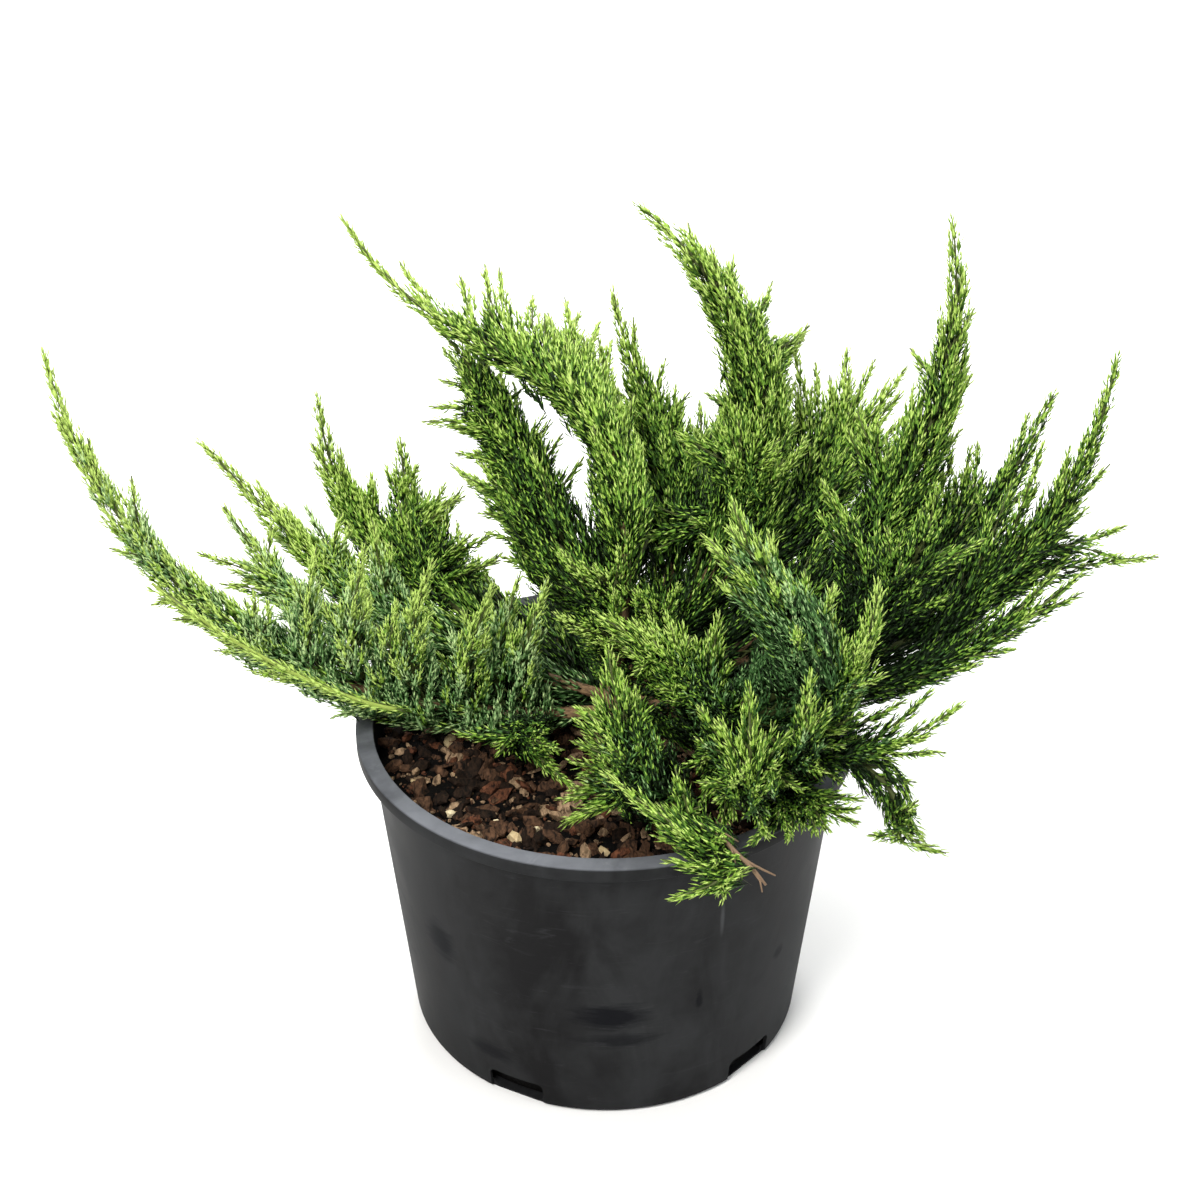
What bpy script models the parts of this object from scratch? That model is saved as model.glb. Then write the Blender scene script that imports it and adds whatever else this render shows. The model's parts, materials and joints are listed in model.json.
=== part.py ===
# A young spreading juniper in a squat nursery pot: the pot, its soil, a short stem with a
# root flare, the main boughs and the masses of foliage that they carry.
# Sizes are in millimetres and degrees, and MM turns them into metres. +X is to the right,
# +Y is away from the front, +Z is up, and the origin is the middle of the pot's underside.

import math

import bmesh
import bpy
import numpy as np
from mathutils.bvhtree import BVHTree

MM = 0.001
GAP = 0.3
SEED = 20

# pot: a thin wall, a flange that turns down at its rim, and drainage slots at the foot
POT_HEIGHT = 196.5
RIM_RADIUS = 142.5
RIM_INNER_RADIUS = 132.5
LIP_HEIGHT = 8.4
LIP_THICKNESS = 2.2
WALL_TOP_RADIUS = 135.2
FOOT_RADIUS = 116.6
WALL = 2.2
FLOOR = 3.0
EDGE = 0.8
POT_SIDES = 50
SLOT_COUNT = 5
SLOT_FIRST = -116
SLOT_WIDTH = 34
SLOT_FOOT = -5
SLOT_TOP = 17
SLOT_DEPTH = 6.5
SLOT_ROUNDING = 4

# soil: fills the pot to a little below the rim
SOIL_TOP = 174.5

# stem: a short trunk that leans a little, from a flat cut at the soil to a rounded fork
STEM_FOOT = (3, -2)
STEM_FORK = (5, 2, 212)
STEM_FOOT_RADIUS = 13
STEM_RADIUS = 8
FLARE_HEIGHT = 14
FLARE_LOBES = 5
STEM_SIDES = 10

# boughs
TIP_WOOD = 0.4
BOUGH_POINTS = 5
FLATS = 0.92

# masses
MASS_SIDES = 6
OFFSHOOT_SIDES = 5
MASS_FOOT = 2.0
CLEARANCE = 1.6
LEAST_RADIUS = 2.2
WOOD_CLEARANCE = 0.8
WOOD_REACH = 4
SOIL_CLEARANCE = 2
RIM_GUARD = 6
LEAST_FACING = 0.12
LEAST_SHARE = 0.3
LEAST_DENT = 0.14
DENTS = 0.26

# Each bough or plume leaves its parent at "fork", a height on the stem or a part of the
# parent's length, and heads "start", an azimuth and an elevation. It ends at "tip", there
# heading "end". "pull" is how far each heading holds, as a part of the whole reach. "bare" is
# the part that is wood before its mass begins, 0 for a mass that sits on its parent, and
# "girth" is the wood's radius at its foot. "full" is the mass's greatest radius. Offshoots are
# the mass's other points: where each leaves the axis, its tip and its radius.
BOUGHS = {
    "left_arm": dict(
        parent="stem", fork=199, start=(180, -6), tip=(-284, -20, 433), end=(179, 86),
        pull=(0.52, 0.32), bare=0.13, girth=4.0, full=20, split=(0.44, 0.70),
        offshoots=[
            (0.42, (-189, -24, 291), 13), (0.33, (-155, -16, 315), 16), (0.26, (-128, -20, 320), 18),
            (0.22, (-113, -20, 285), 14), (0.19, (-92, -24, 313), 18), (0.15, (-31, -14, 295), 17),
            (0.15, (-60, -20, 296), 17), (0.15, (-47, 10, 285), 20)],
    ),
    "left_low": dict(
        parent="stem", fork=206, start=(164, 12), tip=(-230, 60, 343), end=(174, 50),
        pull=(0.56, 0.38), bare=0.28, girth=3.4, full=21,
        offshoots=[(0.55, (-150, 50, 300), 14), (0.36, (-132, 46, 298), 13)],
    ),
    "left_low_front": dict(
        parent="left_low", fork=0.24, start=(184, 4), tip=(-216, 40, 313), end=(162, 56),
        pull=(0.53, 0.45), bare=0, girth=2.4, full=18,
        offshoots=[(0.60, (-226, 12, 296), 9), (0.54, (-216, 14, 275), 11)],
    ),
    "left_back": dict(
        parent="left_low", fork=0.10, start=(140, 20), tip=(-168, 110, 348), end=(158, 88),
        pull=(0.58, 0.46), bare=0.26, girth=3.2, full=25,
        offshoots=[(0.50, (-140, 110, 296), 13), (0.30, (-122, 90, 288), 14)],
    ),
    "left_spire": dict(
        parent="left_back", fork=0.23, start=(128, 36), tip=(-122, 120, 317), end=(130, 86),
        pull=(0.66, 0.50), bare=0, girth=2.4, full=24,
        offshoots=[(0.10, (-77, 74, 274), 19), (0.03, (-61, 60, 264), 17)],
    ),
    "upper_left": dict(
        parent="stem", fork=214, start=(46, 79), tip=(-144, 90, 463), end=(167, 61),
        pull=(0.83, 0.47), bare=0.28, girth=3.8, full=16,
        offshoots=[
            (0.52, (-60, 112, 425), 9), (0.42, (-14, 112, 398), 15), (0.34, (-33, 112, 397), 14),
            (0.30, (4, 104, 384), 12), (0.30, (-13, 100, 379), 14)],
    ),
    "upper_left_inner": dict(
        parent="upper_left", fork=0.06, start=(160, 39), tip=(-89, 74, 398), end=(205, 44),
        pull=(0.40, 0.24), bare=0.20, girth=3.2, full=31,
        offshoots=[
            (0.56, (-102, 52, 357), 9), (0.44, (-84, 46, 341), 13), (0.36, (-78, 46, 321), 14),
            (0.30, (-12, 60, 331), 13)],
    ),
    "centre_left": dict(
        parent="top", fork=0.07, start=(66, 54), tip=(4, 110, 414), end=(140, 78),
        pull=(0.68, 0.50), bare=0.24, girth=3.2, full=22,
        offshoots=[(0.58, (35, 110, 370), 11), (0.26, (-4, 95, 353), 16)],
    ),
    "top": dict(
        parent="stem", fork=212, start=(30, 34), tip=(15, 100, 467), end=(172, 35),
        pull=(0.60, 0.37), bare=0.22, girth=4.0, full=32,
        offshoots=[
            (0.70, (71, 130, 421), 12), (0.62, (96, 140, 395), 14), (0.54, (120, 138, 375), 16),
            (0.40, (105, 130, 374), 19), (0.36, (113, 132, 344), 18), (0.30, (114, 110, 330), 20)],
    ),
    "top_right": dict(
        parent="top", fork=0.14, start=(30, 20), tip=(145, 150, 361), end=(80, 64),
        pull=(0.54, 0.52), bare=0.22, girth=3.2, full=32,
        offshoots=[
            (0.52, (180, 140, 352), 11), (0.36, (184, 126, 331), 15), (0.30, (112, 140, 365), 18)],
    ),
    "centre": dict(
        parent="top", fork=0.19, start=(52, 30), tip=(72, 44, 372), end=(110, 76),
        pull=(0.55, 0.45), bare=0, girth=2.8, full=30,
        offshoots=[(0.55, (38, 54, 350), 15), (0.20, (19, 20, 300), 20)],
    ),
    "right_tall": dict(
        parent="stem", fork=210, start=(8, 8), tip=(188, 90, 464), end=(132, 72),
        pull=(0.42, 0.38), bare=0.22, girth=3.8, full=30,
        offshoots=[
            (0.76, (208, 99, 405), 7), (0.70, (172, 92, 384), 9), (0.62, (208, 92, 374), 10),
            (0.48, (140, 62, 360), 16), (0.46, (177, 96, 361), 13), (0.42, (203, 74, 342), 19)],
    ),
    "right_upper": dict(
        parent="right_tall", fork=0.10, start=(6, 8), tip=(258, 90, 361), end=(20, 66),
        pull=(0.57, 0.40), bare=0.24, girth=3.4, full=29,
        offshoots=[(0.54, (213, 76, 334), 15), (0.34, (197, 66, 335), 19)],
    ),
    "right_spire": dict(
        parent="stem", fork=203, start=(-12, 8), tip=(270, 20, 414), end=(5, 88),
        pull=(0.48, 0.40), bare=0.20, girth=3.8, full=24, split=(0.66,),
        offshoots=[
            (0.64, (275, 22, 346), 9), (0.56, (294, 36, 300), 8), (0.56, (268, 26, 317), 10),
            (0.53, (309, 20, 289), 10), (0.50, (237, 20, 361), 7), (0.44, (224, 24, 336), 18)],
    ),
    "mid_right": dict(
        parent="right_spire", fork=0.16, start=(2, 44), tip=(174, -20, 357), end=(15, 88),
        pull=(0.42, 0.50), bare=0, girth=3.0, full=32,
        offshoots=[(0.60, (202, -20, 322), 13), (0.45, (116, 6, 344), 18)],
    ),
    "right_low": dict(
        parent="right_spire", fork=0.05, start=(-36, 10), tip=(257, -20, 303), end=(10, 47),
        pull=(0.34, 0.35), bare=0.22, girth=3.0, full=15,
        offshoots=[(0.62, (221, -40, 266), 9), (0.50, (203, -46, 260), 9)],
    ),
    "right_front": dict(
        parent="stem", fork=194, start=(-27, 22), tip=(184, -100, 272), end=(-5, 46),
        pull=(0.50, 0.48), bare=0.30, girth=3.2, full=19,
        offshoots=[(0.45, (124, -112, 227), 12), (0.40, (132, -100, 265), 13)],
    ),
    "right_droop": dict(
        parent="right_front", fork=0.62, start=(-20, -10), tip=(182, -112, 183), end=(-14, -5),
        pull=(0.80, 0.60), bare=0, girth=2.0, full=15,
        offshoots=[(0.60, (136, -124, 205), 7), (0.45, (162, -112, 218), 8)],
    ),
    "skirt": dict(
        parent="right_front", fork=0.18, start=(-62, 2), tip=(132, -122, 210), end=(-45, 8),
        pull=(0.45, 0.35), bare=0, girth=2.2, full=16,
        offshoots=[(0.52, (72, -141, 211), 10), (0.35, (94, -140, 216), 10)],
    ),
    "front_right": dict(
        parent="stem", fork=208, start=(-42, 16), tip=(136, -90, 340), end=(-62, 88),
        pull=(0.56, 0.50), bare=0.30, girth=3.6, full=26,
        offshoots=[(0.66, (128, -100, 306), 11), (0.60, (114, -82, 318), 14)],
    ),
    "big_plume": dict(
        parent="front_right", fork=0.26, start=(-30, 30), tip=(62, -70, 375), end=(121, 60),
        pull=(0.74, 0.45), bare=0, girth=2.8, full=32,
        offshoots=[(0.50, (48, -60, 348), 18), (0.35, (65, -70, 338), 18)],
    ),
    "front_lean": dict(
        parent="front_right", fork=0.17, start=(-56, 20), tip=(-7, -44, 292), end=(160, 24),
        pull=(0.80, 0.38), bare=0, girth=2.4, full=24,
        offshoots=[(0.48, (44, -66, 290), 15), (0.25, (59, -60, 301), 14)],
    ),
    "front_plume": dict(
        parent="front_right", fork=0.22, start=(-66, 4), tip=(71, -120, 298), end=(92, 72),
        pull=(0.66, 0.80), bare=0, girth=2.4, full=26,
        offshoots=[(0.30, (47, -100, 269), 15), (0.16, (40, -112, 241), 14)],
    ),
    "front_plume_outer": dict(
        parent="front_right", fork=0.28, start=(-50, 2), tip=(101, -120, 304), end=(-60, 88),
        pull=(0.60, 0.56), bare=0, girth=2.2, full=19,
        offshoots=[(0.55, (113, -116, 282), 10)],
    ),
    "front_low": dict(
        parent="stem", fork=196, start=(-78, 10), tip=(29, -178, 206), end=(176, -12),
        pull=(0.80, 0.30), bare=0.42, girth=3.0, full=10,
        offshoots=[(0.46, (-3, -132, 251), 10), (0.44, (14, -138, 237), 12)],
    ),
    "front_spire": dict(
        parent="front_low", fork=0.14, start=(-75, 45), tip=(1, -90, 299), end=(120, 80),
        pull=(0.35, 0.45), bare=0, girth=2.4, full=24,
        offshoots=[
            (0.20, (-24, -112, 201), 9), (0.14, (-21, -80, 201), 12), (0.10, (-21, -84, 224), 14)],
    ),
    "front_drape": dict(
        parent="left_arm", fork=0.06, start=(-140, -8), tip=(-62, -52, 211), end=(-160, -14),
        pull=(0.45, 0.35), bare=0, girth=2.2, full=11,
        offshoots=[(0.50, (-15, -84, 203), 12), (0.40, (-23, -76, 225), 13)],
    ),
    "back_left": dict(
        parent="stem", fork=199, start=(128, 12), tip=(-124, 156, 236), end=(135, 38),
        pull=(0.45, 0.35), bare=0.24, girth=3.3, full=26,
        offshoots=[(0.58, (-94, 162, 236), 13), (0.55, (-130, 124, 238), 12)],
    ),
    "back": dict(
        parent="stem", fork=207, start=(100, 14), tip=(-76, 236, 262), end=(112, 46),
        pull=(0.45, 0.35), bare=0.22, girth=3.3, full=29,
        offshoots=[(0.58, (-100, 202, 256), 13), (0.52, (-52, 196, 262), 14)],
    ),
    "back_mid": dict(
        parent="back", fork=0.17, start=(80, 18), tip=(26, 246, 258), end=(84, 46),
        pull=(0.45, 0.35), bare=0, girth=2.8, full=28,
        offshoots=[(0.58, (0, 220, 244), 12), (0.52, (46, 202, 262), 14)],
    ),
    "back_right": dict(
        parent="stem", fork=200, start=(60, 12), tip=(112, 230, 282), end=(70, 46),
        pull=(0.45, 0.35), bare=0.22, girth=3.4, full=31,
        offshoots=[(0.70, (134, 214, 264), 9), (0.52, (128, 190, 276), 15)],
    ),
    "back_side": dict(
        parent="back_right", fork=0.12, start=(38, 10), tip=(214, 166, 260), end=(30, 40),
        pull=(0.45, 0.35), bare=0.20, girth=3.0, full=29,
        offshoots=[(0.70, (224, 142, 248), 9), (0.52, (190, 130, 264), 14)],
    ),
    "back_upper": dict(
        parent="back", fork=0.09, start=(72, 50), tip=(84, 172, 340), end=(80, 72),
        pull=(0.50, 0.38), bare=0.18, girth=3.2, full=31,
        offshoots=[(0.62, (88, 190, 306), 12), (0.58, (104, 168, 322), 14)],
    ),
}


# Geometry of curves

def heading(azimuth, elevation):
    a = math.radians(azimuth)
    e = math.radians(elevation)
    return np.array([math.cos(e) * math.cos(a), math.cos(e) * math.sin(a), math.sin(e)])


def unit(v):
    return v / max(float(np.linalg.norm(v)), 1e-9)


def cubic(p, t):
    t = np.asarray(t, float)[..., None]
    s = 1 - t
    return s ** 3 * p[0] + 3 * s * s * t * p[1] + 3 * s * t * t * p[2] + t ** 3 * p[3]


def cubic_heading(p, t):
    s = 1 - t
    return unit(s * s * (p[1] - p[0]) + 2 * s * t * (p[2] - p[1]) + t * t * (p[3] - p[2]))


def cubic_speed(p, t):
    # millimetres of curve for a whole unit of t, at t
    s = 1 - t
    run = s * s * (p[1] - p[0]) + 2 * s * t * (p[2] - p[1]) + t * t * (p[3] - p[2])
    return 3 * float(np.linalg.norm(run))


def stem_centre(z):
    part = (z - SOIL_TOP) / (STEM_FORK[2] - SOIL_TOP)
    x = STEM_FOOT[0] + (STEM_FORK[0] - STEM_FOOT[0]) * part
    y = STEM_FOOT[1] + (STEM_FORK[1] - STEM_FOOT[1]) * part
    return np.array([x, y, z])


def stem_radius(z):
    flare = max(0.0, 1 - (z - SOIL_TOP) / FLARE_HEIGHT)
    return STEM_RADIUS + (STEM_FOOT_RADIUS - STEM_RADIUS) * flare ** 2


def wood_radius(bough, t):
    girth = BOUGHS[bough]["girth"]
    return TIP_WOOD + (girth - TIP_WOOD) * (1 - t) ** 1.2


def lay_curves():
    # control points of every bough, parents first
    curves = {}
    waiting = list(BOUGHS)
    while waiting:
        name = waiting.pop(0)
        size = BOUGHS[name]
        if size["parent"] == "stem":
            foot = stem_centre(min(size["fork"], STEM_FORK[2]))
        elif size["parent"] in curves:
            foot = cubic(curves[size["parent"]], size["fork"])
        else:
            waiting.append(name)
            continue
        tip = np.array(size["tip"], float)
        reach = float(np.linalg.norm(tip - foot))
        near = foot + heading(*size["start"]) * reach * size["pull"][0]
        far = tip - heading(*size["end"]) * reach * size["pull"][1]
        curves[name] = np.array([foot, near, far, tip])
    return curves


def offshoot_curve(curve, fork, tip):
    # a short cubic that leaves along its bough and bends to its own tip
    foot = cubic(curve, fork)
    tip = np.array(tip, float)
    reach = float(np.linalg.norm(tip - foot))
    bend = foot + cubic_heading(curve, fork) * reach * 0.28
    return np.array([foot, foot + (bend - foot) * 0.67, tip + (bend - tip) * 0.67, tip])


def side_of(direction):
    side = np.cross(direction, (0, 0, 1))
    if np.linalg.norm(side) < 0.1:
        side = np.cross(direction, (0, 1, 0))
    return unit(side)


def around(direction, sides, side=None):
    # unit ways square to a direction, the first as near as can be to "side"
    if side is None:
        side = side_of(direction)
    u = unit(side - direction * float(side @ direction))
    v = np.cross(u, direction)
    turns = np.arange(sides) * 2 * math.pi / sides
    return [math.cos(a) * u + math.sin(a) * v for a in turns]


def disc(centre, direction, radius, sides):
    return [centre + radius * way for way in around(direction, sides)]


CURVES = lay_curves()


def wood_around(name):
    # points and radii along what carries a bough: the stem, or the parent's bare wood
    parent = BOUGHS[name]["parent"]
    if parent == "stem":
        heights = np.linspace(SOIL_TOP, STEM_FORK[2], 40)
        return [(stem_centre(z), stem_radius(z)) for z in heights]
    parts = np.linspace(0, max(BOUGHS[parent]["bare"], 0.02), 60)
    return [(cubic(CURVES[parent], t), wood_radius(parent, t) * FLATS) for t in parts]


def seat(name, radius):
    # the first part of the curve whose end disc stands a gap clear of its carrier
    carrier = wood_around(name)
    points = np.array([c for c, _ in carrier])
    radii = np.array([r for _, r in carrier])
    for t in np.linspace(0, 0.4, 401):
        rim = disc(cubic(CURVES[name], t), cubic_heading(CURVES[name], t), radius, 12)
        clear = min(float((np.linalg.norm(points - p, axis=1) - radii).min()) for p in rim)
        if clear >= GAP:
            return t
    raise ValueError(name + " never clears its carrier")


# Materials and objects

def material(name, colour, roughness):
    made = bpy.data.materials.new(name)
    made.use_nodes = True
    shader = made.node_tree.nodes["Principled BSDF"]
    shader.inputs["Base Color"].default_value = (*colour, 1)
    shader.inputs["Roughness"].default_value = roughness
    shader.inputs["Metallic"].default_value = 0
    made.diffuse_color = (*colour, 1)
    return made


def clear_scene():
    for old in list(bpy.data.objects):
        bpy.data.objects.remove(old, do_unlink=True)


clear_scene()
PLANT = bpy.data.collections.new("potted_juniper")
CUTTERS = bpy.data.collections.new("cutters")
bpy.context.scene.collection.children.link(PLANT)
bpy.context.scene.collection.children.link(CUTTERS)

PLASTIC = material("pot_plastic", (0.045, 0.047, 0.05), 0.5)
SOIL = material("bark_soil", (0.035, 0.02, 0.014), 0.95)
BARK = material("bark", (0.2, 0.11, 0.06), 0.9)
FOLIAGE = material("foliage", (0.1, 0.24, 0.06), 0.75)


def add_object(name, data, look, collection=PLANT):
    made = bpy.data.objects.new(name, data)
    collection.objects.link(made)
    made.data.materials.append(look)
    return made


def mesh_from(bm, name):
    bmesh.ops.recalc_face_normals(bm, faces=bm.faces[:])
    mesh = bpy.data.meshes.new(name)
    bm.to_mesh(mesh)
    bm.free()
    return mesh


def turned(name, profile, look, sides):
    # a profile of radius and height from axis to axis, turned about +Z
    mesh = bpy.data.meshes.new(name)
    points = [(r * MM, 0, z * MM) for r, z in profile]
    mesh.from_pydata(points, [(i, i + 1) for i in range(len(points) - 1)], [])
    made = add_object(name, mesh, look)
    screw = made.modifiers.new("turn", "SCREW")
    screw.steps = sides
    screw.render_steps = sides
    screw.use_merge_vertices = True
    screw.merge_threshold = 0.0001
    screw.use_smooth_shade = True
    return made


def flatten(made):
    # the evaluated mesh in place of the object's modifiers
    graph = bpy.context.evaluated_depsgraph_get()
    mesh = bpy.data.meshes.new_from_object(made.evaluated_get(graph))
    made.modifiers.clear()
    made.data = mesh


def cut_or_join(made, other, operation):
    step = made.modifiers.new(operation.lower(), "BOOLEAN")
    step.operation = operation
    step.object = other
    step.solver = "EXACT"


# Pot and soil

def wall_radius(z):
    return FOOT_RADIUS + (WALL_TOP_RADIUS - FOOT_RADIUS) * z / (POT_HEIGHT - LIP_THICKNESS)


def build_pot():
    under_flange = POT_HEIGHT - LIP_THICKNESS
    lip_foot = POT_HEIGHT - LIP_HEIGHT
    lip_inner = RIM_RADIUS - LIP_THICKNESS
    profile = [
        (0, FLOOR),
        (wall_radius(FLOOR) - WALL, FLOOR),
        (wall_radius(under_flange) - WALL - 0.4, under_flange),
        (RIM_INNER_RADIUS, POT_HEIGHT - EDGE),
        (RIM_INNER_RADIUS + EDGE, POT_HEIGHT),
        (RIM_RADIUS - EDGE, POT_HEIGHT),
        (RIM_RADIUS, POT_HEIGHT - EDGE),
        (RIM_RADIUS, lip_foot),
        (lip_inner, lip_foot),
        (lip_inner, under_flange),
        (wall_radius(under_flange), under_flange),
        (wall_radius(2.5), 2.5),
        (FOOT_RADIUS - 2, 0),
        (0, 0),
    ]
    pot = turned("pot", profile, PLASTIC, POT_SIDES)
    for i in range(SLOT_COUNT):
        turn = SLOT_FIRST + i * 360 / SLOT_COUNT
        cut_or_join(pot, slot_cutter("slot_" + str(i), turn), "DIFFERENCE")
    flatten(pot)
    return pot


def slot_cutter(name, turn):
    # a block with rounded corners, across the foot of the wall and through the underside
    bpy.ops.mesh.primitive_cube_add(size=1)
    cutter = bpy.context.object
    cutter.name = name
    for home in list(cutter.users_collection):
        home.objects.unlink(cutter)
    CUTTERS.objects.link(cutter)
    cutter.scale = (SLOT_DEPTH * MM, SLOT_WIDTH * MM, (SLOT_TOP - SLOT_FOOT) * MM)
    bpy.ops.object.select_all(action="DESELECT")
    cutter.select_set(True)
    bpy.context.view_layer.objects.active = cutter
    bpy.ops.object.transform_apply(location=False, rotation=False, scale=True)
    along_x = [e.index for e in cutter.data.edges if abs(edge_run(cutter.data, e)[0]) > 0]
    weights = cutter.data.attributes.new("bevel_weight_edge", "FLOAT", "EDGE")
    for index in along_x:
        weights.data[index].value = 1
    rounding = cutter.modifiers.new("round", "BEVEL")
    rounding.limit_method = "WEIGHT"
    rounding.width = SLOT_ROUNDING * MM
    rounding.segments = 3
    angle = math.radians(turn)
    middle = FOOT_RADIUS + 3 - SLOT_DEPTH / 2
    level = (SLOT_TOP + SLOT_FOOT) / 2
    cutter.location = (middle * MM * math.cos(angle), middle * MM * math.sin(angle), level * MM)
    cutter.rotation_euler = (0, 0, angle)
    cutter.hide_render = True
    cutter.display_type = "WIRE"
    return cutter


def edge_run(mesh, edge):
    a, b = (mesh.vertices[i].co for i in edge.vertices)
    return b - a


def build_soil():
    low = FLOOR + GAP
    inner = WALL + GAP * 2
    profile = [
        (0, SOIL_TOP),
        (wall_radius(SOIL_TOP) - inner - 0.6, SOIL_TOP),
        (wall_radius(low) - inner, low),
        (0, low),
    ]
    soil = turned("soil", profile, SOIL, POT_SIDES)
    flatten(soil)
    return soil


# Stem and boughs

def loft(rings, tip=None):
    # a closed skin over rings of equal count, with a flat first end and a flat or pointed last end
    bm = bmesh.new()
    rows = [[bm.verts.new(p * MM) for p in ring] for ring in rings]
    count = len(rows[0])
    for low, high in zip(rows, rows[1:]):
        for i in range(count):
            j = (i + 1) % count
            bm.faces.new((low[i], low[j], high[j], high[i]))
    bm.faces.new(rows[0][::-1])
    if tip is None:
        bm.faces.new(rows[-1])
    else:
        peak = bm.verts.new(tip * MM)
        for i in range(count):
            bm.faces.new((rows[-1][i], rows[-1][(i + 1) % count], peak))
    bmesh.ops.triangulate(bm, faces=bm.faces[:])
    return bm


def build_stem():
    foot = SOIL_TOP + GAP
    heights = [foot, foot + 3, foot + 7, foot + FLARE_HEIGHT, STEM_FORK[2]]
    rings = []
    for z in heights:
        flare = max(0.0, 1 - (z - foot) / FLARE_HEIGHT)
        ring = []
        for i in range(STEM_SIDES):
            a = 2 * math.pi * i / STEM_SIDES
            lobe = 1 + 0.14 * flare * math.cos(FLARE_LOBES * a)
            r = stem_radius(z) * lobe
            ring.append(stem_centre(z) + r * np.array([math.cos(a), math.sin(a), 0]))
        rings.append(ring)
    crown = np.array(STEM_FORK, float)
    for rise in (0.5, 0.85):
        r = STEM_RADIUS * math.sqrt(1 - rise * rise)
        turns = [2 * math.pi * i / STEM_SIDES for i in range(STEM_SIDES)]
        lift = STEM_RADIUS * rise
        rings.append([crown + np.array([r * math.cos(a), r * math.sin(a), lift]) for a in turns])
    return add_object("stem", mesh_from(loft(rings), "stem"), BARK)


def build_bough(name):
    # a tapering limb from its seat to where its mass begins
    size = BOUGHS[name]
    first = seat(name, size["girth"])
    parts = np.linspace(first, size["bare"], BOUGH_POINTS)
    curve = bpy.data.curves.new(name, "CURVE")
    curve.dimensions = "3D"
    curve.bevel_depth = MM
    curve.bevel_resolution = 1
    curve.use_fill_caps = True
    spline = curve.splines.new("POLY")
    spline.points.add(len(parts) - 1)
    for point, t in zip(spline.points, parts):
        point.co = (*(cubic(CURVES[name], t) * MM), 1)
        point.radius = wood_radius(name, t)
    tube = add_object(name + "_tube", curve, BARK)
    graph = bpy.context.evaluated_depsgraph_get()
    mesh = bpy.data.meshes.new_from_object(tube.evaluated_get(graph))
    bpy.data.objects.remove(tube, do_unlink=True)
    bm = bmesh.new()
    bm.from_mesh(mesh)
    bmesh.ops.remove_doubles(bm, verts=bm.verts[:], dist=0.00001)
    bmesh.ops.triangulate(bm, faces=bm.faces[:])
    return add_object("bough_" + name, mesh_from(bm, "bough_" + name), BARK)


# Masses

def mass_profile(s):
    # radius along a mass: a quick swelling, then a long taper to the tip
    swell = min(1.0, 0.35 + s / 0.22 * 0.65)
    return swell * (1 - s) ** 0.9


def axis_samples(name, parts):
    size = BOUGHS[name]
    low, high = parts
    start = size["bare"]
    rows = []
    for t in np.linspace(low, high, 15):
        s = (t - start) / (1 - start)
        rows.append((cubic(CURVES[name], t), size["full"] * mass_profile(s)))
    for fork, tip, radius in size["offshoots"]:
        if low <= fork < high:
            shoot = offshoot_curve(CURVES[name], fork, tip)
            for s in np.linspace(0.15, 1, 9):
                rows.append((cubic(shoot, s), radius * shoot_profile(s)))
    return rows


def shoot_profile(s):
    return (1 - s) ** 0.75 * (0.75 + 0.25 * min(1.0, s * 4))


def mass_names():
    # every mass with the part of its bough's length that it covers
    masses = {}
    for name, size in BOUGHS.items():
        start = size["bare"] or seat(name, MASS_FOOT)
        cuts = [start, *size.get("split", ()), 1]
        labels = ["", "_middle", "_end"] if len(cuts) > 3 else ["", "_end"]
        for label, low, high in zip(labels, cuts, cuts[1:]):
            masses[name + label] = (name, low, high)
    return masses


MASSES = mass_names()
SAMPLES = {mass: axis_samples(name, (low, high)) for mass, (name, low, high) in MASSES.items()}


def wood_samples():
    rows = [(stem_centre(z), stem_radius(z)) for z in np.linspace(SOIL_TOP, STEM_FORK[2] + 4, 8)]
    for name, size in BOUGHS.items():
        if size["bare"]:
            for t in np.linspace(0, size["bare"], 16):
                rows.append((cubic(CURVES[name], t), wood_radius(name, t)))
    for turn in range(0, 360, 6):
        a = math.radians(turn)
        rim = np.array([math.cos(a), math.sin(a), 0])
        middle = (RIM_RADIUS + RIM_INNER_RADIUS) / 2
        rows.append((rim * middle + (0, 0, POT_HEIGHT - RIM_GUARD + 2), RIM_GUARD))
    return rows


def as_arrays(rows):
    return np.array([point for point, _ in rows]), np.array([size for _, size in rows])


WOOD_POINTS, WOOD_SIZES = as_arrays(wood_samples())
LEAF_POINTS, LEAF_SIZES = as_arrays([row for rows in SAMPLES.values() for row in rows])
LEAF_OWNERS = np.array([mass for mass, rows in SAMPLES.items() for _ in rows])


def room(mass, centre, radius, direction):
    # how far a ring's point may stand from the axis before it nears wood, rim, soil or another mass
    away = WOOD_POINTS - centre
    span = np.linalg.norm(away, axis=1)
    toward = away @ direction / np.maximum(span, 1e-6)
    near = (span < radius + WOOD_SIZES + WOOD_REACH) & (toward > LEAST_FACING)
    most = min([radius, *((span - WOOD_SIZES - WOOD_CLEARANCE) / toward)[near]])

    away = LEAF_POINTS - centre
    span = np.linalg.norm(away, axis=1)
    toward = away @ direction / np.maximum(span, 1e-6)
    near = (LEAF_OWNERS != mass) & (span < radius + LEAF_SIZES + CLEARANCE) & (toward > LEAST_FACING)
    span = span[near]
    share = (span ** 2 + radius ** 2 - LEAF_SIZES[near] ** 2) / (2 * span)
    share = np.clip(share, LEAST_SHARE * span, (1 - LEAST_SHARE) * span)
    most = min([most, *((share - CLEARANCE / 2) / toward[near])])
    if direction[2] < -0.05:
        most = min(most, (centre[2] - SOIL_TOP - SOIL_CLEARANCE) / -direction[2])
    return max(most, LEAST_RADIUS)


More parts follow.
